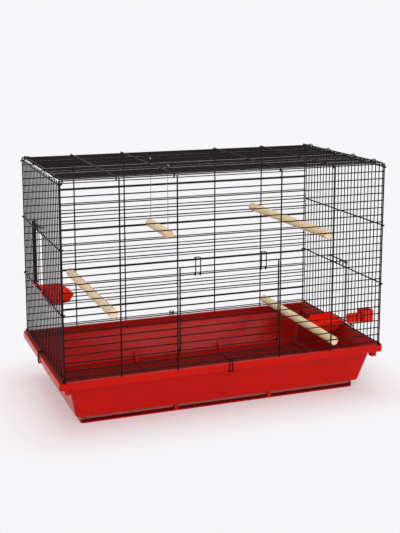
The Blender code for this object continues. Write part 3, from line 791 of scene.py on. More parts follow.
def link_finish(tree, shader, colour, roughness, height, strength, distance):
    """Links a colour, a roughness and a bump of some strength and depth into a material's shader."""
    bump = put(tree, "Bump", {"Strength": strength, "Distance": distance, "Height": height})
    tree.links.new(colour, shader.inputs["Base Color"])
    tree.links.new(roughness, shader.inputs["Roughness"])
    tree.links.new(bump.outputs[0], shader.inputs["Normal"])


def wire_material(colours):
    """Black baked coat on wire: semi-gloss, with an uneven skin and a little dust on top."""
    material, tree, shader = start_material("black_wire_coat", Specular_IOR_Level=0.14,
                                            Specular_Tint=(1.0, 0.84, 0.95, 1))
    colour = tuple(colours.wire)
    coat = mix_colour(tree, clouds(tree, 55, 3), tinted(colour, 0.75), tinted(colour, 1.5))
    dust = use_group(tree, dust_group(), Scale=220, Amount=0.02)
    dusty = mix_colour(tree, dust.outputs["Mask"], coat, wire_dust)
    gloss = clouds(tree, 140, 5, 0.26, 0.42)
    link_finish(tree, shader, dusty, gloss, clouds(tree, 1500, 3), strength=0.22, distance=0.00025)
    return material


def band_mask(tree, value, low, high, soft):
    """One where a value lies between two ends and nothing outside them, with soft edges."""
    rise = ramp(tree, value, low - soft, low)
    fall = ramp(tree, value, high, high + soft, 1.0, 0.0)
    return maths(tree, "MULTIPLY", rise, fall)


def shaded_floor_colour(tree, place, turned, base):
    """Painted shade: darker red on the tray's floor and on the ledge round it, where they face up."""
    deep = ramp(tree, place["Z"], ledge_height + 0.002, ledge_height + 0.0007)
    shaded = maths(tree, "MULTIPLY", deep, ramp(tree, turned["Z"], 0.6, 0.95))
    return mix_colour(tree, shaded, base, shaded_floor)


def window_shade_colour(tree, place, base):
    """Painted shade in the skirt's windows: a dull band along their top and dark red along their foot."""
    away = maths(tree, "ABSOLUTE", place["Y"])
    inside = band_mask(tree, away, window_back + window_shade_reach[0], window_back + window_shade_reach[1], 0.0003)
    tall = band_mask(tree, place["Z"], window_bottom - 0.0002, window_top, 0.0002)
    shade_tones = mix_colour(tree, ramp(tree, place["Z"], *window_shade_line), window_shade_foot, window_shade_band)
    return mix_colour(tree, maths(tree, "MULTIPLY", inside, tall), base, shade_tones)


def inner_shade_colour(tree, place, turned, base, shade):
    """Painted shade: darker red on the end walls' inner faces and on the inner slope of the whole rim: where
    the normal points back towards the middle, so that the place times the normal is below zero."""
    ends = ramp(tree, maths(tree, "MULTIPLY", place["X"], turned["X"]), -0.03, -0.15)
    sides = ramp(tree, maths(tree, "MULTIPLY", place["Y"], turned["Y"]), -0.03, -0.07)
    top = ramp(tree, place["Z"], rim_bottom - 0.001, rim_bottom + 0.001)
    share = maths(tree, "MAXIMUM", ends, maths(tree, "MULTIPLY", sides, top))
    return mix_colour(tree, share, base, shade)


def tray_painted_shade(tree, base, colour):
    """Painted shade over the tray's clouded red: on its floor, in the skirt's windows and on its inner walls.
    """
    place = parts_of(tree, object_place(tree))
    turned = normal_parts(tree)
    base = shaded_floor_colour(tree, place, turned, base)
    base = window_shade_colour(tree, place, base)
    return inner_shade_colour(tree, place, turned, base, tinted(colour, inner_shade_share))


def plastic_material(name, colour, gloss, dust_share, painted_shade=None):
    """Moulded plastic: slow colour clouds, fine skin, scuffs in the gloss, light dust on what faces up, and
    painted shade where given.
    """
    material, tree, shader = start_material(name, Specular_IOR_Level=0.10, Coat_Weight=0.4, Coat_IOR=1.12,
                                            Coat_Roughness=0.16)
    base = mix_colour(tree, clouds(tree, 9, 4), tinted(colour, 0.93), tinted(colour, 1.07))
    if painted_shade:
        base = painted_shade(tree, base, colour)
    dust = use_group(tree, dust_group(), Scale=70, Amount=dust_share)
    dusty = mix_colour(tree, dust.outputs["Mask"], base, plastic_dust)
    scuffs = use_group(tree, scratch_group(), Scale=45, Stretch=12, Width=0.018).outputs["Mask"]
    rough = maths(tree, "MULTIPLY_ADD", scuffs, 0.22, clouds(tree, 35, 6, *gloss))
    relief = maths(tree, "MULTIPLY_ADD", scuffs, -0.5, clouds(tree, 420, 4))
    link_finish(tree, shader, dusty, rough, relief, strength=0.07, distance=0.0004)
    return material


def wood_material(name, colours, pith, end_y):
    """Turned pale wood: rings and pores from the grain group, and darker end grain past a place along y."""
    material, tree, shader = start_material(name, Specular_IOR_Level=0.35)
    colour = tuple(colours.wood)
    pith_x, pith_z, seed = pith
    grain = use_group(tree, grain_group(), Pith_X=pith_x + shift_x, Pith_Z=pith_z, Ring_Pitch=ring_pitch,
                      Seed=seed)
    ring = mix_colour(tree, grain.outputs["Rings"], tinted(colour, 1.05), late_wood)
    pore = mix_colour(tree, grain.outputs["Pores"], ring, wood_pores)
    soft = mix_colour(tree, 0.45, ring, pore)
    far = maths(tree, "ABSOLUTE", parts_of(tree, object_place(tree))["Y"])
    ended = mix_colour(tree, ramp(tree, far, end_y - 0.0012, end_y - 0.0002, 0.0, 0.7), soft, end_grain)
    shade = mix_colour(tree, clouds(tree, 30, 3, 0.0, 0.25), ended, handled_wood)
    gloss = clouds(tree, 160, 4, 0.48, 0.68)
    link_finish(tree, shader, shade, gloss, grain.outputs["Height"], strength=0.25, distance=0.0003)
    return material


def steel_material(colours):
    """Plain drawn steel wire: metal with a dull bloom and fine draw marks."""
    material, tree, shader = start_material("plain_steel_wire", Metallic=1.0)
    colour = tuple(colours.steel)
    base = mix_colour(tree, clouds(tree, 120, 5), colour, tinted(colour, 0.62))
    marks = use_group(tree, scratch_group(), Scale=300, Stretch=9, Width=0.05)
    gloss = clouds(tree, 300, 4, 0.2, 0.42)
    link_finish(tree, shader, base, gloss, marks.outputs["Mask"], strength=0.15, distance=0.0001)
    return material


def finish_of(name, make):
    """The material of that name, made the first time it is asked for."""
    return bpy.data.materials.get(name) or make()


def black_coat(context):
    """The wires' black coat."""
    return finish_of("black_wire_coat", lambda: wire_material(context.scene.cage_colours))


def red_cup_plastic(context):
    """The cups' orange red plastic."""
    colour = tuple(context.scene.cage_colours.cup)
    return finish_of("cup_plastic", lambda: plastic_material("cup_plastic", colour, cup_gloss, cup_dust))


class CAGE_OT_end_grilles(bpy.types.Operator):
    """Build the front and back grilles"""

    bl_idname = "cage.end_grilles"
    bl_label = "Front and back grilles"

    def grille(self, context, name, node, side, has_door):
        """Rows inside, five posts outside and a weld at each crossing; a door leaves some rows cut in two."""
        sizes = context.scene.cage_sizes
        lay = Layout(sizes)
        row_y, post_y = side * lay.row_y, side * lay.half_depth
        reach = lay.post_x + wire_end
        shells = []
        for row in range(lay.rows + 1):
            z = lay.row_z(row)
            spans = [(-reach, reach)]
            if has_door and lay.hinge_row < row <= lay.door_top_row:
                spans = [(-reach, lay.door_left + opening_lip), (lay.door_right - opening_lip, reach)]
            shells += [tube(line((a, row_y, z), (b, row_y, z)), lay.row_radius, lay.sides) for a, b in spans]
        posts = [-lay.post_x, *lay.bays, lay.post_x]
        foot, head = tray_height + wire_gap, lay.top_row + wire_end
        paths = [line((x, post_y, foot), (x, post_y, head)) for x in posts]
        shells += [tube(path, lay.frame_radius, lay.sides) for path in paths]
        weld_y = side * (lay.row_y + lay.row_radius - weld_seat / 2)
        x, z = crossings(posts, lay.row_z(np.arange(lay.rows + 1)))
        shells.append(welds(sizes, x, weld_y, z, "y"))
        wire_piece(context, name, shells, "cage", node)

    def execute(self, context):
        self.grille(context, "front_grille", "front_panel", -1, True)
        self.grille(context, "back_grille", "back_panel", 1, False)
        return {"FINISHED"}


class CAGE_OT_side_grilles(bpy.types.Operator):
    """Build the left and right grilles with their hooked rails and uprights"""

    bl_idname = "cage.side_grilles"
    bl_label = "Side grilles"

    def upright(self, lay, sign, column, lifted, opening):
        """Paths of one upright: it hooks over the roof's edge wire where it is lifted, and leaves the feed
        opening free where its height is given."""
        x, y = sign * lay.side_x, lay.column_y(column)
        foot = tray_height + wire_gap
        top = line((x, y, lay.roof_row_z - lay.row_radius - wire_gap))
        if lifted:
            rise = lay.side_x - lay.roof_edge_x
            outward = 0 if sign > 0 else half_turn
            top = arc((sign * lay.roof_edge_x, y, 0), rise, outward, sign * half_turn, "xz")[::-1]
            top[:, 2] = lay.roof_cross_z + top[:, 2] * (lay.roof_hook + wire_gap) / rise
        if not opening:
            return [np.concatenate([top, line((x, y, foot))])]
        low, high = opening
        return [np.concatenate([top, line((x, y, high - opening_lip))]),
                line((x, y, low + opening_lip), (x, y, foot))]

    def grille(self, context, name, sign):
        """Uprights, four rails whose ends hook round the corner posts, and a weld at each crossing."""
        sizes = context.scene.cage_sizes
        lay = Layout(sizes)
        first, last = lay.feed_columns(name)
        opening = lay.rails[feed_rails[name]], lay.rails[feed_rails[name] + 1]
        lifted = [round(share * lay.columns) for share in lifted_shares]
        shells = []
        for column in range(lay.columns + 1):
            cut = opening if first < column < last else None
            paths = self.upright(lay, sign, column, column in lifted, cut)
            shells += [tube(path, upright_share * lay.row_radius, lay.sides) for path in paths]
        for rail in lay.rails:
            near, far = (sign * lay.post_x, -lay.half_depth, rail), (sign * lay.post_x, lay.half_depth, rail)
            path = hooked(near, far, lay.rail_loop, 0 if sign > 0 else half_turn, -sign * half_turn, "xy")
            shells.append(tube(path, lay.frame_radius, lay.sides))
        z, y = crossings(lay.rails, lay.column_y(np.arange(lay.columns + 1)))
        shells.append(welds(sizes, sign * (lay.side_x + lay.row_radius - weld_seat / 2), y, z, "x"))
        wire_piece(context, name + "_grille", shells, "cage", name + "_side_panel")

    def execute(self, context):
        self.grille(context, "left", -1)
        self.grille(context, "right", 1)
        return {"FINISHED"}


class CAGE_OT_roof_grille(bpy.types.Operator):
    """Build the roof grille that hooks round the top wires"""

    bl_idname = "cage.roof_grille"
    bl_label = "Roof grille"

    def execute(self, context):
        sizes = context.scene.cage_sizes
        lay = Layout(sizes)
        reach = lay.side_x - lay.row_radius - roof_end_gap
        places = -lay.row_y + np.arange(1, lay.roof_count) * lay.roof_step
        shells = []
        for index, y in enumerate(places):
            z = lay.roof_row_z + roof_waver * math.sin(roof_waver_turn * index)
            shells.append(tube(line((-reach, y, z), (reach, y, z)), lay.row_radius, lay.sides))
        shifted = [bay - shift for bay, shift in zip(lay.bays, roof_shifts)]
        crossing = [-lay.roof_edge_x, *shifted, lay.roof_edge_x]
        for x in crossing:
            near, far = (x, -lay.row_y, lay.top_row), (x, lay.row_y, lay.top_row)
            path = hooked(near, far, lay.roof_hook, quarter_turn, half_turn, "yz")
            shells.append(tube(path, lay.frame_radius, lay.sides))
        x, y = crossings(crossing, places)
        shells.append(welds(sizes, x, y, lay.roof_row_z + lay.row_radius - weld_seat / 2, "z"))
        wire_piece(context, "roof_grille", shells, "cage", "roof_panel")
        return {"FINISHED"}


class CAGE_OT_front_door(bpy.types.Operator):
    """Build the front door and its two latches"""

    bl_idname = "cage.front_door"
    bl_label = "Front door and latches"

    def door(self, context, lay, side_y, door_y):
        """Rows, and two side wires whose lower ends loop round the hinge wire."""
        sizes = context.scene.cage_sizes
        frame_x = (lay.door_left + door_side_gap, lay.door_right - door_side_gap)
        left, right = frame_x[0] - door_row_overhang, frame_x[1] + door_row_overhang
        heights = lay.row_z(np.arange(lay.hinge_row + 1, lay.door_top_row + 1))
        paths = [line((left, door_y, z), (right, door_y, z)) for z in heights]
        shells = [tube(path, lay.row_radius, lay.sides) for path in paths]
        for x in frame_x:
            hinge = (x, -lay.row_y, lay.row_z(lay.hinge_row))
            loop = arc(hinge, lay.roof_hook, half_turn, loop_turn, "yz", loop_steps)
            upright = line((x, side_y, lay.row_z(lay.door_top_row) + wire_end))
            shells.append(tube(np.concatenate([upright, loop]), lay.frame_radius, lay.sides))
        x, z = crossings(frame_x, heights)
        shells.append(welds(sizes, x, door_y - lay.row_radius + weld_seat / 2, z, "y"))
        wire_piece(context, "door_wires", shells, "front_door", "front_door")

    def latch(self, context, lay, side, place, door_y):
        """A wire staple over the grille wire above the door, with an eye round a door wire at each foot."""
        eye = lay.row_radius + lay.thin_radius + wire_gap
        leg_y = door_y - eye
        top = lay.row_z(lay.door_top_row + 1) + eye
        bottom = lay.row_z(lay.door_top_row - 1)
        keeper_y = -lay.row_y + latch_reach
        left, right = place - latch_half_width, place + latch_half_width
        staple = line((left, leg_y, bottom), (left, leg_y, top), (left, keeper_y, top),
                      (right, keeper_y, top), (right, leg_y, top), (right, leg_y, bottom))
        first, last = (arc((x, door_y, bottom), eye, half_turn, loop_turn, "yz", loop_steps)
                       for x in (left, right))
        path = np.concatenate([first[::-1], soften(staple, latch_bend, 5)[1:-1], last])
        node = "door_latch_" + side
        wire_piece(context, "latch_wire_" + side, [tube(path, lay.thin_radius, lay.sides)], node, node)

    def execute(self, context):
        lay = Layout(context.scene.cage_sizes)
        side_y = -lay.row_y - lay.roof_hook
        door_y = side_y + lay.weld
        self.door(context, lay, side_y, door_y)
        for side, place in zip(("left", "right"), latch_places):
            self.latch(context, lay, side, place, door_y)
        return {"FINISHED"}


class CAGE_OT_feed_doors(bpy.types.Operator):
    """Build the two sliding feed doors"""

    bl_idname = "cage.feed_doors"
    bl_label = "Sliding feed doors"

    def door(self, context, name, sign):
        """Thin upright wires on two bars, whose ends hook round the uprights beside the opening."""
        sizes = context.scene.cage_sizes
        lay = Layout(sizes)
        first, last = (lay.column_y(column) for column in lay.feed_columns(name))
        low = lay.rails[feed_rails[name]] + feed_bar_lift
        high = lay.rails[feed_rails[name] + 1] + feed_handle_lift
        wire_x = lay.half_length + lay.frame_radius + lay.row_radius + wire_gap
        bar_radius = wire_x - (lay.side_x + feed_loop_radius) - lay.row_radius + feed_weld_seat
        places = np.linspace(first + feed_wire_gap, last - feed_wire_gap, feed_wire_count)
        x = sign * wire_x
        paths = [line((x, y, low - wire_end), (x, y, high + wire_end)) for y in places]
        shells = [tube(path, feed_wire_share * lay.row_radius, lay.sides) for path in paths]
        for z in (low, high):
            near, far = (sign * lay.side_x, first, z), (sign * lay.side_x, last, z)
            path = hooked(near, far, feed_loop_radius, 0 if sign > 0 else half_turn, -sign * half_turn, "xy")
            shells.append(tube(path, bar_radius, lay.sides))
        y, z = crossings(places, (low, high))
        shells.append(welds(sizes, sign * (wire_x - lay.row_radius + feed_weld_seat / 2), y, z, "x"))
        wire_piece(context, "feed_door_wires_" + name, shells, name + "_feed_door", name + "_feed_door")

    def execute(self, context):
        self.door(context, "left", -1)
        self.door(context, "right", 1)
        return {"FINISHED"}


def cup_outline(sign, outer_x, reach, half_width, nose_half, centre, height, nose_height, corner):
    """A cup section: square at the cage wall and tapered at the inner end, where it may dip, with its corners
    softened."""
    inner_x = outer_x - reach
    shoulder_x = inner_x + cup_nose_length
    ring = line((outer_x, centre - half_width, height), (outer_x, centre + half_width, height),
                (shoulder_x, centre + half_width, height), (inner_x, centre + nose_half, nose_height),
                (inner_x, centre - nose_half, nose_height), (shoulder_x, centre - half_width, height))
    return soften(ring, corner, 4, closed=True) * (sign, 1, 1)


def shrunk(ring, share):
    """A ring of points drawn towards its middle."""
    middle = ring.mean(0)
    return middle + (ring - middle) * share


class CAGE_OT_cups(bpy.types.Operator):
    """Build the two feeder cups and the drinker cup"""

    bl_idname = "cage.cups"
    bl_label = "Feeder and drinker cups"

    def skin(self, sign, outer_x, centre, rail, name, corner):
        """A seed cup's skin: rings up the inside, over the lip and down the outside, a floor at each end."""
        rim_lift, drop, back_slope = cup_sizes[name]
        rim, foot, knee = rail + rim_lift, rail - drop, rail + cup_knee_lift
        inner_x, wall = outer_x - cup_wall, cup_wall
        reach, foot_reach = cup_reach - 2 * wall, cup_reach - cup_foot_slope - back_slope
        half_width, nose_half = cup_width / 2, cup_nose_width / 2
        inner = (half_width - wall, nose_half - wall / 2)
        outer = (half_width, nose_half)
        rings = np.stack([
            cup_outline(sign, inner_x - back_slope, foot_reach - 2 * wall, inner[0] - cup_side_slope,
                        nose_half - wall, centre, foot + wall, foot + wall, corner),
            cup_outline(sign, inner_x, reach, *inner, centre, knee, knee - cup_nose_drop, corner),
            cup_outline(sign, inner_x, reach, *inner, centre, rim, rim - cup_nose_drop, corner),
            cup_outline(sign, outer_x, cup_reach, *outer, centre, rim, rim - cup_nose_drop, corner),
            cup_outline(sign, outer_x, cup_reach, *outer, centre, knee, knee - cup_nose_drop, corner),
            cup_outline(sign, outer_x - back_slope, foot_reach, outer[0] - cup_side_slope, outer[1],
                        centre, foot, foot, corner)])
        floors = [shrunk(ring, cup_floor_share)[None] for ring in (rings[0], rings[-1])]
        return soften(np.concatenate([floors[0], rings, floors[1]]), cup_lip_round, 4)

    def tab_outline(self, lay, sign, outer_x, rail, root):
        """A tab seen along y: up out of the cup's wall, over the rail and a little way down its far side."""
        over = rail + lay.frame_radius + wire_gap
        lip_x = lay.half_length + lay.frame_radius + wire_gap
        inner_x, near_x = outer_x - cup_wall + tab_seat, outer_x - tab_seat
        end = rail - tab_drop
        outline = np.array([(inner_x, root), (inner_x, over + tab_lip), (lip_x, over + tab_lip),
                            (lip_x + tab_lip, over), (lip_x + tab_lip, end), (lip_x, end), (lip_x, over),
                            (near_x, over), (near_x, root)]) * (sign, 1)
        return soften(outline, tab_bend, 3)

    def feeder(self, context, lay, name, sign):
        """A seed cup: a thin tapered shell with a rounded lip and a low nose, and two tabs over the rail."""
        first, last = lay.feed_columns(name)
        centre = (lay.column_y(first) + lay.column_y(last)) / 2
        rail = lay.rails[feed_rails[name]]
        outer_x = lay.side_x - lay.row_radius - wire_gap
        skin = self.skin(sign, outer_x, centre, rail, name, context.scene.cage_sizes.cup_corner)
        root = min(rail + cup_knee_lift, rail + cup_sizes[name][0] - tab_root)
        outline = self.tab_outline(lay, sign, outer_x, rail, root)
        tabs = []
        for side in (-1, 1):
            middle = centre + side * tab_columns * lay.column_step
            tabs.append(("UNION", [push(outline, middle - tab_half_width, middle + tab_half_width, "y")]))
        mesh = carved_mesh("seed_cup_" + name, [skin], tabs)
        piece("seed_cup_" + name, mesh, red_cup_plastic(context), name + "_feeder_cup",
              name + "_feeder_cup", cup_sharp)

    def drinker(self, context, lay):
        """The drinker: a small open box with a narrow trough that passes between two uprights."""
        column = lay.nearest_column(drinker_place - lay.column_step / 2)
        centre = lay.column_y(column) + lay.column_step / 2
        half, wall = drinker_half_width, drinker_wall
        body_x = lay.half_length + lay.frame_radius + drinker_gap + wire_gap
        end_x = body_x + drinker_depth
        bottom = lay.base + drinker_lift
        top = bottom + drinker_tall
        neck_half = lay.column_step / 2 - lay.row_radius - wire_gap
        neck_bottom = bottom + neck_lift
        neck_top = neck_bottom + neck_tall
        start_x = lay.side_x - neck_inside
        low, high = block((body_x, centre - half, bottom), (end_x, centre + half, top), drinker_corner)
        ends = [shrunk(ring, drinker_end_share) for ring in (low, high)]
        skin = soften(np.stack([ends[0], low, high, ends[1]]), drinker_edge_round, 3)
        neck = block((start_x, centre - neck_half, neck_bottom),
                     (body_x + overlap, centre + neck_half, neck_top))
        hollow = block((body_x + wall, centre - half + wall, bottom + wall),
                       (end_x - wall, centre + half - wall, top + overlap), drinker_hollow_corner)
        trough = block((start_x + wall, centre - neck_half + wall, neck_bottom + wall),
                       (body_x + 2 * wall, centre + neck_half - wall, neck_top + overlap))
        steps = [("UNION", [neck]), ("DIFFERENCE", [hollow]), ("DIFFERENCE", [trough])]
        mesh = carved_mesh("drinker_cup", [skin], steps)
        piece("drinker_cup", mesh, red_cup_plastic(context), "outer_cup", "outer_cup", cup_sharp)

    def execute(self, context):
        lay = Layout(context.scene.cage_sizes)
        self.feeder(context, lay, "left", -1)
        self.feeder(context, lay, "right", 1)
        self.drinker(context, lay)
        return {"FINISHED"}


def turned_bar(centre, half, radius, end_round, seed):
    """A turned bar: along y its radius is a little under the full one, plus a slow and a fast sine, and its
    ends are rounded over."""
    inner = np.linspace(-half, half, bar_stations)[1:-1]
    slow = slow_swell * np.sin(inner * slow_turn + seed)
    fast = fast_swell * np.sin(inner * fast_turn + 2 * seed)
    radii = radius * (1 - bar_shrink + slow + fast)
    near = [(-half, bar_end_share * radius), (-half, radii[0])]
    far = [(half, radii[-1]), (half, bar_end_share * radius)]
    profile = np.concatenate([near, np.column_stack([inner, radii]), far])
    return lathe(soften(profile, end_round, 3), centre, bar_sides)


class CAGE_OT_perches(bpy.types.Operator):
    """Build the three wooden perches"""

    bl_idname = "cage.perches"
    bl_label = "Wooden perches"

    def execute(self, context):
        sizes = context.scene.cage_sizes
        lay = Layout(sizes)
        radius = sizes.perch_radius
        half = lay.half_depth - lay.frame_radius - wire_gap
        near = lay.row_y - lay.row_radius - wire_gap
        slot = lay.row_radius + wire_gap
        for index, (name, (share, height, slant)) in enumerate(perch_places.items()):
            row_z = lay.row_z(lay.nearest_row(height))
            x = share * cage_length
            z = row_z - (lay.row_step - radius - lay.row_radius - perch_wire_gap)
            grooves = []
            for side in (-1, 1):
                end = x + slant * side * half
                groove = block((end - 2 * radius, side * near, row_z - slot),
                               (end + 2 * radius, side * (half + overlap), row_z + slot))
                grooves.append(("DIFFERENCE", [groove]))
            bar = turned_bar((x, 0, z), half, radius, sizes.perch_round, bar_seed_step * index)
            bar[..., 0] += slant * bar[..., 1]
            mesh = carved_mesh("dowel_" + name, [bar], grooves)
            pith = (x + perch_pith[0] + perch_pith_step * index, z + perch_pith[1], grain_seed_step * index)
            wood = wood_material("dowel_wood_" + name, context.scene.cage_colours, pith, half)
            piece("dowel_" + name, mesh, wood, "cage", "perch_" + name, wood_sharp)
        return {"FINISHED"}


class CAGE_OT_swing(bpy.types.Operator):
    """Build the swing's wire and its wooden bar"""

    bl_idname = "cage.swing"
    bl_label = "Swing"

    def execute(self, context):
        sizes = context.scene.cage_sizes
        lay = Layout(sizes)
        radius = sizes.perch_radius
        x = swing_share * cage_length
        row = round((lay.row_y - swing_hang_share * cage_depth) / lay.roof_step)
        hang = lay.row_y - row * lay.roof_step
        eye = lay.row_radius + lay.thin_radius + swing_clearance
        leg = hang - eye
        bar_z = lay.roof_row_z - swing_drop
        under = bar_z - radius + swing_seat
        front = arc((x, -hang, lay.roof_row_z), eye, 0, loop_turn, "yz", loop_steps)[::-1]
        back = arc((x, hang, lay.roof_row_z), eye, half_turn, -loop_turn, "yz", loop_steps)
        hanger = soften(line(front[-1], (x, -leg, under), (x, leg, under), back[0]), swing_bend, 4)
        path = np.concatenate([front[:-1], hanger, back[1:]])
        mesh = grid_mesh("swing_hanger", [tube(path, hanger_share * lay.thin_radius, lay.sides)])
        steel = steel_material(context.scene.cage_colours)
        piece("swing_hanger", mesh, steel, "swing", "swing_wire", wire_sharp)

        half = hang + swing_overhang
        slot = lay.thin_radius + wire_gap
        cuts = [block((x - slot, -leg - slot, bar_z - 2 * radius), (x + slot, leg + slot, under + slot))]
        cuts += [block((x - slot, side * leg - slot, bar_z - radius),
                       (x + slot, side * leg + slot, bar_z + 2 * radius)) for side in (-1, 1)]
        bar = turned_bar((x, 0, bar_z), half, radius, sizes.perch_round, swing_bar_seed)
        mesh = carved_mesh("swing_bar", [bar], [("DIFFERENCE", [cut]) for cut in cuts])
        pith = (x + swing_pith[0], bar_z + swing_pith[1], swing_grain_seed)
        wood = wood_material("swing_bar_wood", context.scene.cage_colours, pith, half)
        piece("swing_bar", mesh, wood, "swing", "swing_perch", wood_sharp)
        return {"FINISHED"}


class CAGE_OT_clips(bpy.types.Operator):
    """Build the four wire clips that hold the cage on the tray"""

    bl_idname = "cage.clips"
    bl_label = "Tray clips"

    def hairpin(self, context, lay, name, leg, axis):
        """Two legs side by side along x (0) or y (1), bent into each other where they end."""
        apart = clip_half_width * np.eye(3)[axis]
        fold = np.stack([leg[-2] - apart, leg[-1] - apart, leg[-1] + apart, leg[-2] + apart])
        path = np.concatenate([leg[:-2] - apart, soften(fold, clip_fold, 5), leg[:-2][::-1] + apart])
        wire = tube(path, clip_share * lay.frame_radius, lay.sides)
        wire_piece(context, "clip_wire_" + name, [wire], "clip_" + name, "clip_" + name)

    def long_side_clip(self, context, lay, name, side):
        """A clip on the lowest row in front or behind: an eye, a leg past the rim and a curl under it."""
        pivot = lay.row_z(0)
        eye = lay.row_radius + lay.frame_radius + wire_gap
        leg = tray_half_y + lay.frame_radius + wire_gap - lay.row_y
        bottom = pivot - rim_bottom + wire_gap + lay.frame_radius
        reach = math.hypot(bottom, leg) + wire_gap
        foot = pivot - math.sqrt(reach**2 - leg**2)
        begin = quarter_turn + side * loop_turn
        loop = arc((0, side * lay.row_y, pivot), eye, begin, -side * loop_turn, "yz", loop_steps)
        out_y = side * (lay.row_y + leg)
        corner = line(loop[-1], (0, out_y, pivot + eye), (0, out_y, foot))
        end = math.atan2(-reach, clip_hook_inset - leg)
        angle = np.linspace(math.atan2(foot - pivot, leg), end, hook_steps)
        curl = np.column_stack([0 * angle, side * (lay.row_y + reach * np.cos(angle)),
                                pivot + reach * np.sin(angle)])
        path = np.concatenate([loop[:-1], soften(corner, clip_bend, 4)[:-1], curl])
        self.hairpin(context, lay, name, path, 0)

    def end_clip(self, context, lay, name, side):
        """A clip on the lowest rail at an end: part of an eye, a leg past the rim and a foot under it."""
        half_step = lay.column_step / 2
        y = lay.column_y(lay.nearest_column(side_clip_places[name] - half_step)) + half_step
        out_x = side * (tray_half_x + lay.frame_radius + wire_gap)
        foot = rim_bottom - wire_gap - lay.frame_radius - side_clip_gap
        begin = side_clip_turn if side > 0 else half_turn - side_clip_turn
        turn = side * (quarter_turn - side_clip_turn)
        loop = arc((side * lay.half_length, y, lay.base), lay.rail_loop, begin, turn, "xz")
        corner = line(loop[-1], (out_x, y, lay.base + lay.rail_loop), (out_x, y, foot),
                      (out_x - side * side_clip_hook, y, foot))
        self.hairpin(context, lay, name, np.concatenate([loop[:-1], soften(corner, clip_bend, 4)]), 1)

    def execute(self, context):
        lay = Layout(context.scene.cage_sizes)
        self.long_side_clip(context, lay, "front", -1)
        self.long_side_clip(context, lay, "back", 1)
        self.end_clip(context, lay, "left", -1)
        self.end_clip(context, lay, "right", 1)
        return {"FINISHED"}


class CAGE_OT_tray(bpy.types.Operator):
    """Build the moulded tray with its rim, ribs, lugs and skirt"""

    bl_idname = "cage.tray"
    bl_label = "Plastic tray"

    def profile(self, corner):
        """Stations of the tray's skin from the floor up the wall, over the rim and down to the skirt, as
        (half length, half depth, height, corner radius), each softened by the last number of its row."""
        wall = tray_wall
        edge = (tray_half_x - rim_width[0], tray_half_y - rim_width[1])
        stations = np.array([
            (floor_half[0] - floor_step, floor_half[1] - floor_step, floor_height, corner / 2, 0),
            (*floor_half, floor_height, corner, 0.0012),
            (*floor_half, ledge_height, corner, 0.0012),
            (wall_foot_half[0] - wall, wall_foot_half[1] - wall, ledge_height, corner, 0.003),
            (wall_top_half[0] - wall, wall_top_half[1] - wall, rim_bottom, corner, 0.003),
            (*edge, tray_height, corner, 0.0013),
            (tray_half_x, tray_half_y, tray_height, corner, 0.0016),
            (tray_half_x, tray_half_y, rim_bottom, corner, 0.0016),
            (*wall_top_half, rim_bottom, corner, 0.0009),
            (*wall_foot_half, skirt_height, corner, 0.0045),
            (*skirt_half, skirt_height, corner, 0.0012),
            (*skirt_half, 0, corner, 0.0008),
            (*floor_half, 0, corner, 0.0008),
            (*floor_half, floor_height - wall, corner, 0.0012),
            (floor_half[0] - floor_step, floor_half[1] - floor_step, floor_height - wall, corner / 2, 0)])
        return soften(stations[:, :4], stations[1:-1, 4:], 5)

    def ribs(self):
        """Two ribs across the floor that step up the ledge and the back wall, a little sunk in the skin."""
        floor_y, inner_y = floor_half[1], wall_foot_half[1] - tray_wall
        start = ledge_height + rib_foot
        lean = (wall_foot_inset[1] - wall_top_inset[1]) / (rim_bottom - start)
        end_y = inner_y + lean * rib_rise
        outline = [(-floor_y - overlap, floor_height - overlap), (floor_y + overlap, floor_height - overlap),
                   (floor_y + overlap, ledge_height - overlap), (inner_y - rib_foot, ledge_height - overlap),
                   (inner_y + overlap, start), (end_y + overlap, start + rib_rise),
                   (end_y - overlap, start + rib_rise), (inner_y - rib_height, start + rib_height),
                   (floor_y - rib_height, ledge_height + rib_height),
                   (floor_y - 2 * rib_height, floor_height + rib_height),
                   (-floor_y - overlap, floor_height + rib_height)]
        return [push(outline, x - rib_width / 2, x + rib_width / 2, "x") for x in (-rib_place, rib_place)]

    def lugs(self):
        """A lug under each corner of the rim."""
        near_x, near_y = tray_half_x - lug_inset[0], tray_half_y - lug_inset[1]
        return [block((sign_x * near_x, sign_y * near_y, rim_bottom - lug_height),
                      (sign_x * (near_x - lug_width), sign_y * (near_y - lug_depth), rim_bottom + overlap),
                      lug_round) for sign_x, sign_y in ((-1, -1), (1, -1), (-1, 1), (1, 1))]

    def windows(self):
        """Shallow windows in the skirt's long sides, three on each, with posts below the ribs."""
        ends = skirt_half[0] - window_end
        near, far = rib_place - rib_width, rib_place + rib_width
        outer_y = skirt_half[1] + overlap
        spans = ((-ends, -far), (-near, near), (far, ends))
        return [block((low, side * window_back, window_bottom), (high, side * outer_y, window_top))
                for low, high in spans for side in (-1, 1)]

    def execute(self, context):
        skin = rounded_ring(*self.profile(context.scene.cage_sizes.tray_corner).T, steps=tray_corner_steps)
        steps = [("UNION", self.ribs()), ("UNION", self.lugs()), ("DIFFERENCE", self.windows())]
        mesh = carved_mesh("moulded_tray", [skin], steps)
        colour = tuple(context.scene.cage_colours.tray)
        # The tray's plastic carries painted shade on its floor, in its windows and on its inner walls
        plastic = plastic_material("tray_plastic", colour, tray_gloss, tray_dust, tray_painted_shade)
        piece("moulded_tray", mesh, plastic, "cage", "tray", tray_sharp)
        return {"FINISHED"}


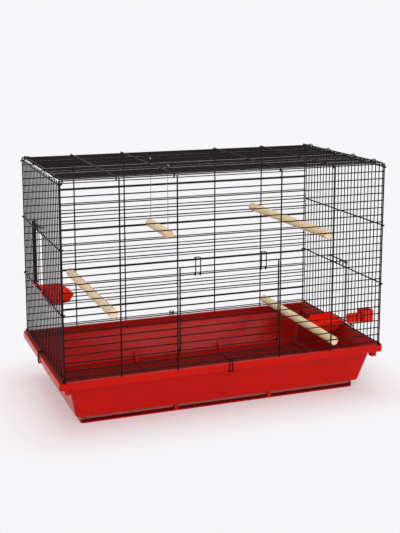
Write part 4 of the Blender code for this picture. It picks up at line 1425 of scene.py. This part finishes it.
def stage_floor(colours):
    """The floor: pale for the camera with the object's shadow left in it, and all backdrop further out. The
    share of backdrop grows with the distance from a rectangle under the tray."""
    mesh = bpy.data.meshes.new("stage_floor")
    corners = [(x * floor_reach, y * floor_reach, 0) for x, y in ((-1, -1), (1, -1), (1, 1), (-1, 1))]
    mesh.from_pydata(corners, [], [(0, 1, 2, 3)])
    floor = bpy.data.objects.new("stage_floor", mesh)
    bpy.context.scene.collection.objects.link(floor)
    # The floor's pink base colour paints the red tray's bounce on the lit floor beside it
    material, tree, shader = start_material("stage_floor", Roughness=0.55, Base_Color=(*floor_bounce, 1))
    glow = put(tree, "Emission", {"Color": (*colours.backdrop, 1), "Strength": 1.0})
    moved = vector_maths(tree, "SUBTRACT", object_place(tree), (*shadow_centre, 0))
    past = vector_maths(tree, "SUBTRACT", vector_maths(tree, "ABSOLUTE", moved), (*shadow_half, 0))
    away = vector_maths(tree, "LENGTH", vector_maths(tree, "MAXIMUM", past, (0, 0, 0)))
    share = ramp(tree, away, *shadow_fade, shadow_least, 1.0)
    path = put(tree, "LightPath")
    seen = maths(tree, "MAXIMUM", path.outputs["Is Camera Ray"], path.outputs["Is Glossy Ray"])
    factor = maths(tree, "MULTIPLY", share, seen)
    blend = put(tree, "MixShader", {0: factor, 1: shader.outputs[0], 2: glow.outputs[0]})
    out = tree.nodes["Material Output"]
    tree.links.new(blend.outputs[0], out.inputs["Surface"])
    mesh.materials.append(material)


def stage_world(colours, level):
    """A white surround: backdrop colour where the camera sees it, and a plain level of light."""
    world = bpy.data.worlds.new("stage_world")
    bpy.context.scene.world = world
    world.use_nodes = True
    tree = world.node_tree
    tree.nodes.clear()
    path = put(tree, "LightPath")
    seen = maths(tree, "MAXIMUM", path.outputs["Is Camera Ray"], path.outputs["Is Transmission Ray"])
    light = put(tree, "Background", {"Color": (1, 1, 1, 1), "Strength": level})
    backdrop = put(tree, "Background", {"Color": (*colours.backdrop, 1), "Strength": 1.0})
    blend = put(tree, "MixShader", {0: seen, 1: light.outputs[0], 2: backdrop.outputs[0]})
    out = put(tree, "OutputWorld")
    tree.links.new(blend.outputs[0], out.inputs["Surface"])


def stage_lamp(name, place, target, size, power):
    """A soft square lamp that looks at a point."""
    lamp = bpy.data.lights.new(name, "AREA")
    lamp.shape = "SQUARE"
    lamp.size = size
    lamp.energy = power
    item = bpy.data.objects.new(name, lamp)
    bpy.context.scene.collection.objects.link(item)
    item.location = place
    item.visible_camera = False
    back = np.array(place, float) - np.array(target, float)
    flat = math.hypot(back[0], back[1])
    item.rotation_euler = (math.atan2(flat, back[2]), 0, math.atan2(back[0], -back[1]))


def stage_camera():
    """The camera, where the photograph was taken from."""
    camera = bpy.data.cameras.new("photo_camera")
    camera.lens = camera_lens
    camera.sensor_width = camera_sensor
    camera.shift_y = camera_shift
    item = bpy.data.objects.new("photo_camera", camera)
    bpy.context.scene.collection.objects.link(item)
    item.location = (camera_place[0] + shift_x, *camera_place[1:])
    item.rotation_euler = (math.radians(camera_tilt), 0, math.radians(camera_heading))
    bpy.context.scene.camera = item


class CAGE_OT_stage(bpy.types.Operator):
    """Build the pale floor, the surround, the lamps and the camera"""

    bl_idname = "cage.stage"
    bl_label = "Stage, lamps and camera"

    def execute(self, context):
        colours = context.scene.cage_colours
        context.scene.view_settings.view_transform = "Standard"
        stage_floor(colours)
        stage_world(colours, world_level)
        for name, settings in lamps.items():
            stage_lamp(name, *settings)
        stage_camera()
        return {"FINISHED"}


class CAGE_PT_panel(bpy.types.Panel):
    """Lists the builders with their sizes and colours"""

    bl_idname = "CAGE_PT_panel"
    bl_label = "Bird cage"
    bl_space_type = "VIEW_3D"
    bl_region_type = "UI"
    bl_category = "Bird cage"

    def draw(self, context):
        layout = self.layout
        for group in (context.scene.cage_sizes, context.scene.cage_colours):
            box = layout.box()
            for key in type(group).__annotations__:
                box.prop(group, key)
        for builder in builders:
            layout.operator(builder.bl_idname)


builders = (CAGE_OT_stage, CAGE_OT_end_grilles, CAGE_OT_side_grilles, CAGE_OT_roof_grille, CAGE_OT_front_door,
            CAGE_OT_feed_doors, CAGE_OT_cups, CAGE_OT_perches, CAGE_OT_swing, CAGE_OT_clips, CAGE_OT_tray)
classes = (CageSizes, CageColours, *builders, CAGE_PT_panel)


def register():
    """Registers the classes and hangs the settings on the scene."""
    for item in classes:
        bpy.utils.register_class(item)
    bpy.types.Scene.cage_sizes = bpy.props.PointerProperty(type=CageSizes)
    bpy.types.Scene.cage_colours = bpy.props.PointerProperty(type=CageColours)


def unregister():
    """Takes the settings off the scene and unregisters the classes."""
    del bpy.types.Scene.cage_colours
    del bpy.types.Scene.cage_sizes
    for item in reversed(classes):
        bpy.utils.unregister_class(item)


def main():
    """Builds everything in order."""
    register()
    bpy.ops.cage.stage()
    bpy.ops.cage.end_grilles()
    bpy.ops.cage.side_grilles()
    bpy.ops.cage.roof_grille()
    bpy.ops.cage.front_door()
    bpy.ops.cage.feed_doors()
    bpy.ops.cage.cups()
    bpy.ops.cage.perches()
    bpy.ops.cage.swing()
    bpy.ops.cage.clips()
    bpy.ops.cage.tray()
    bpy.context.view_layer.update()


if __name__ == "__main__":
    main()
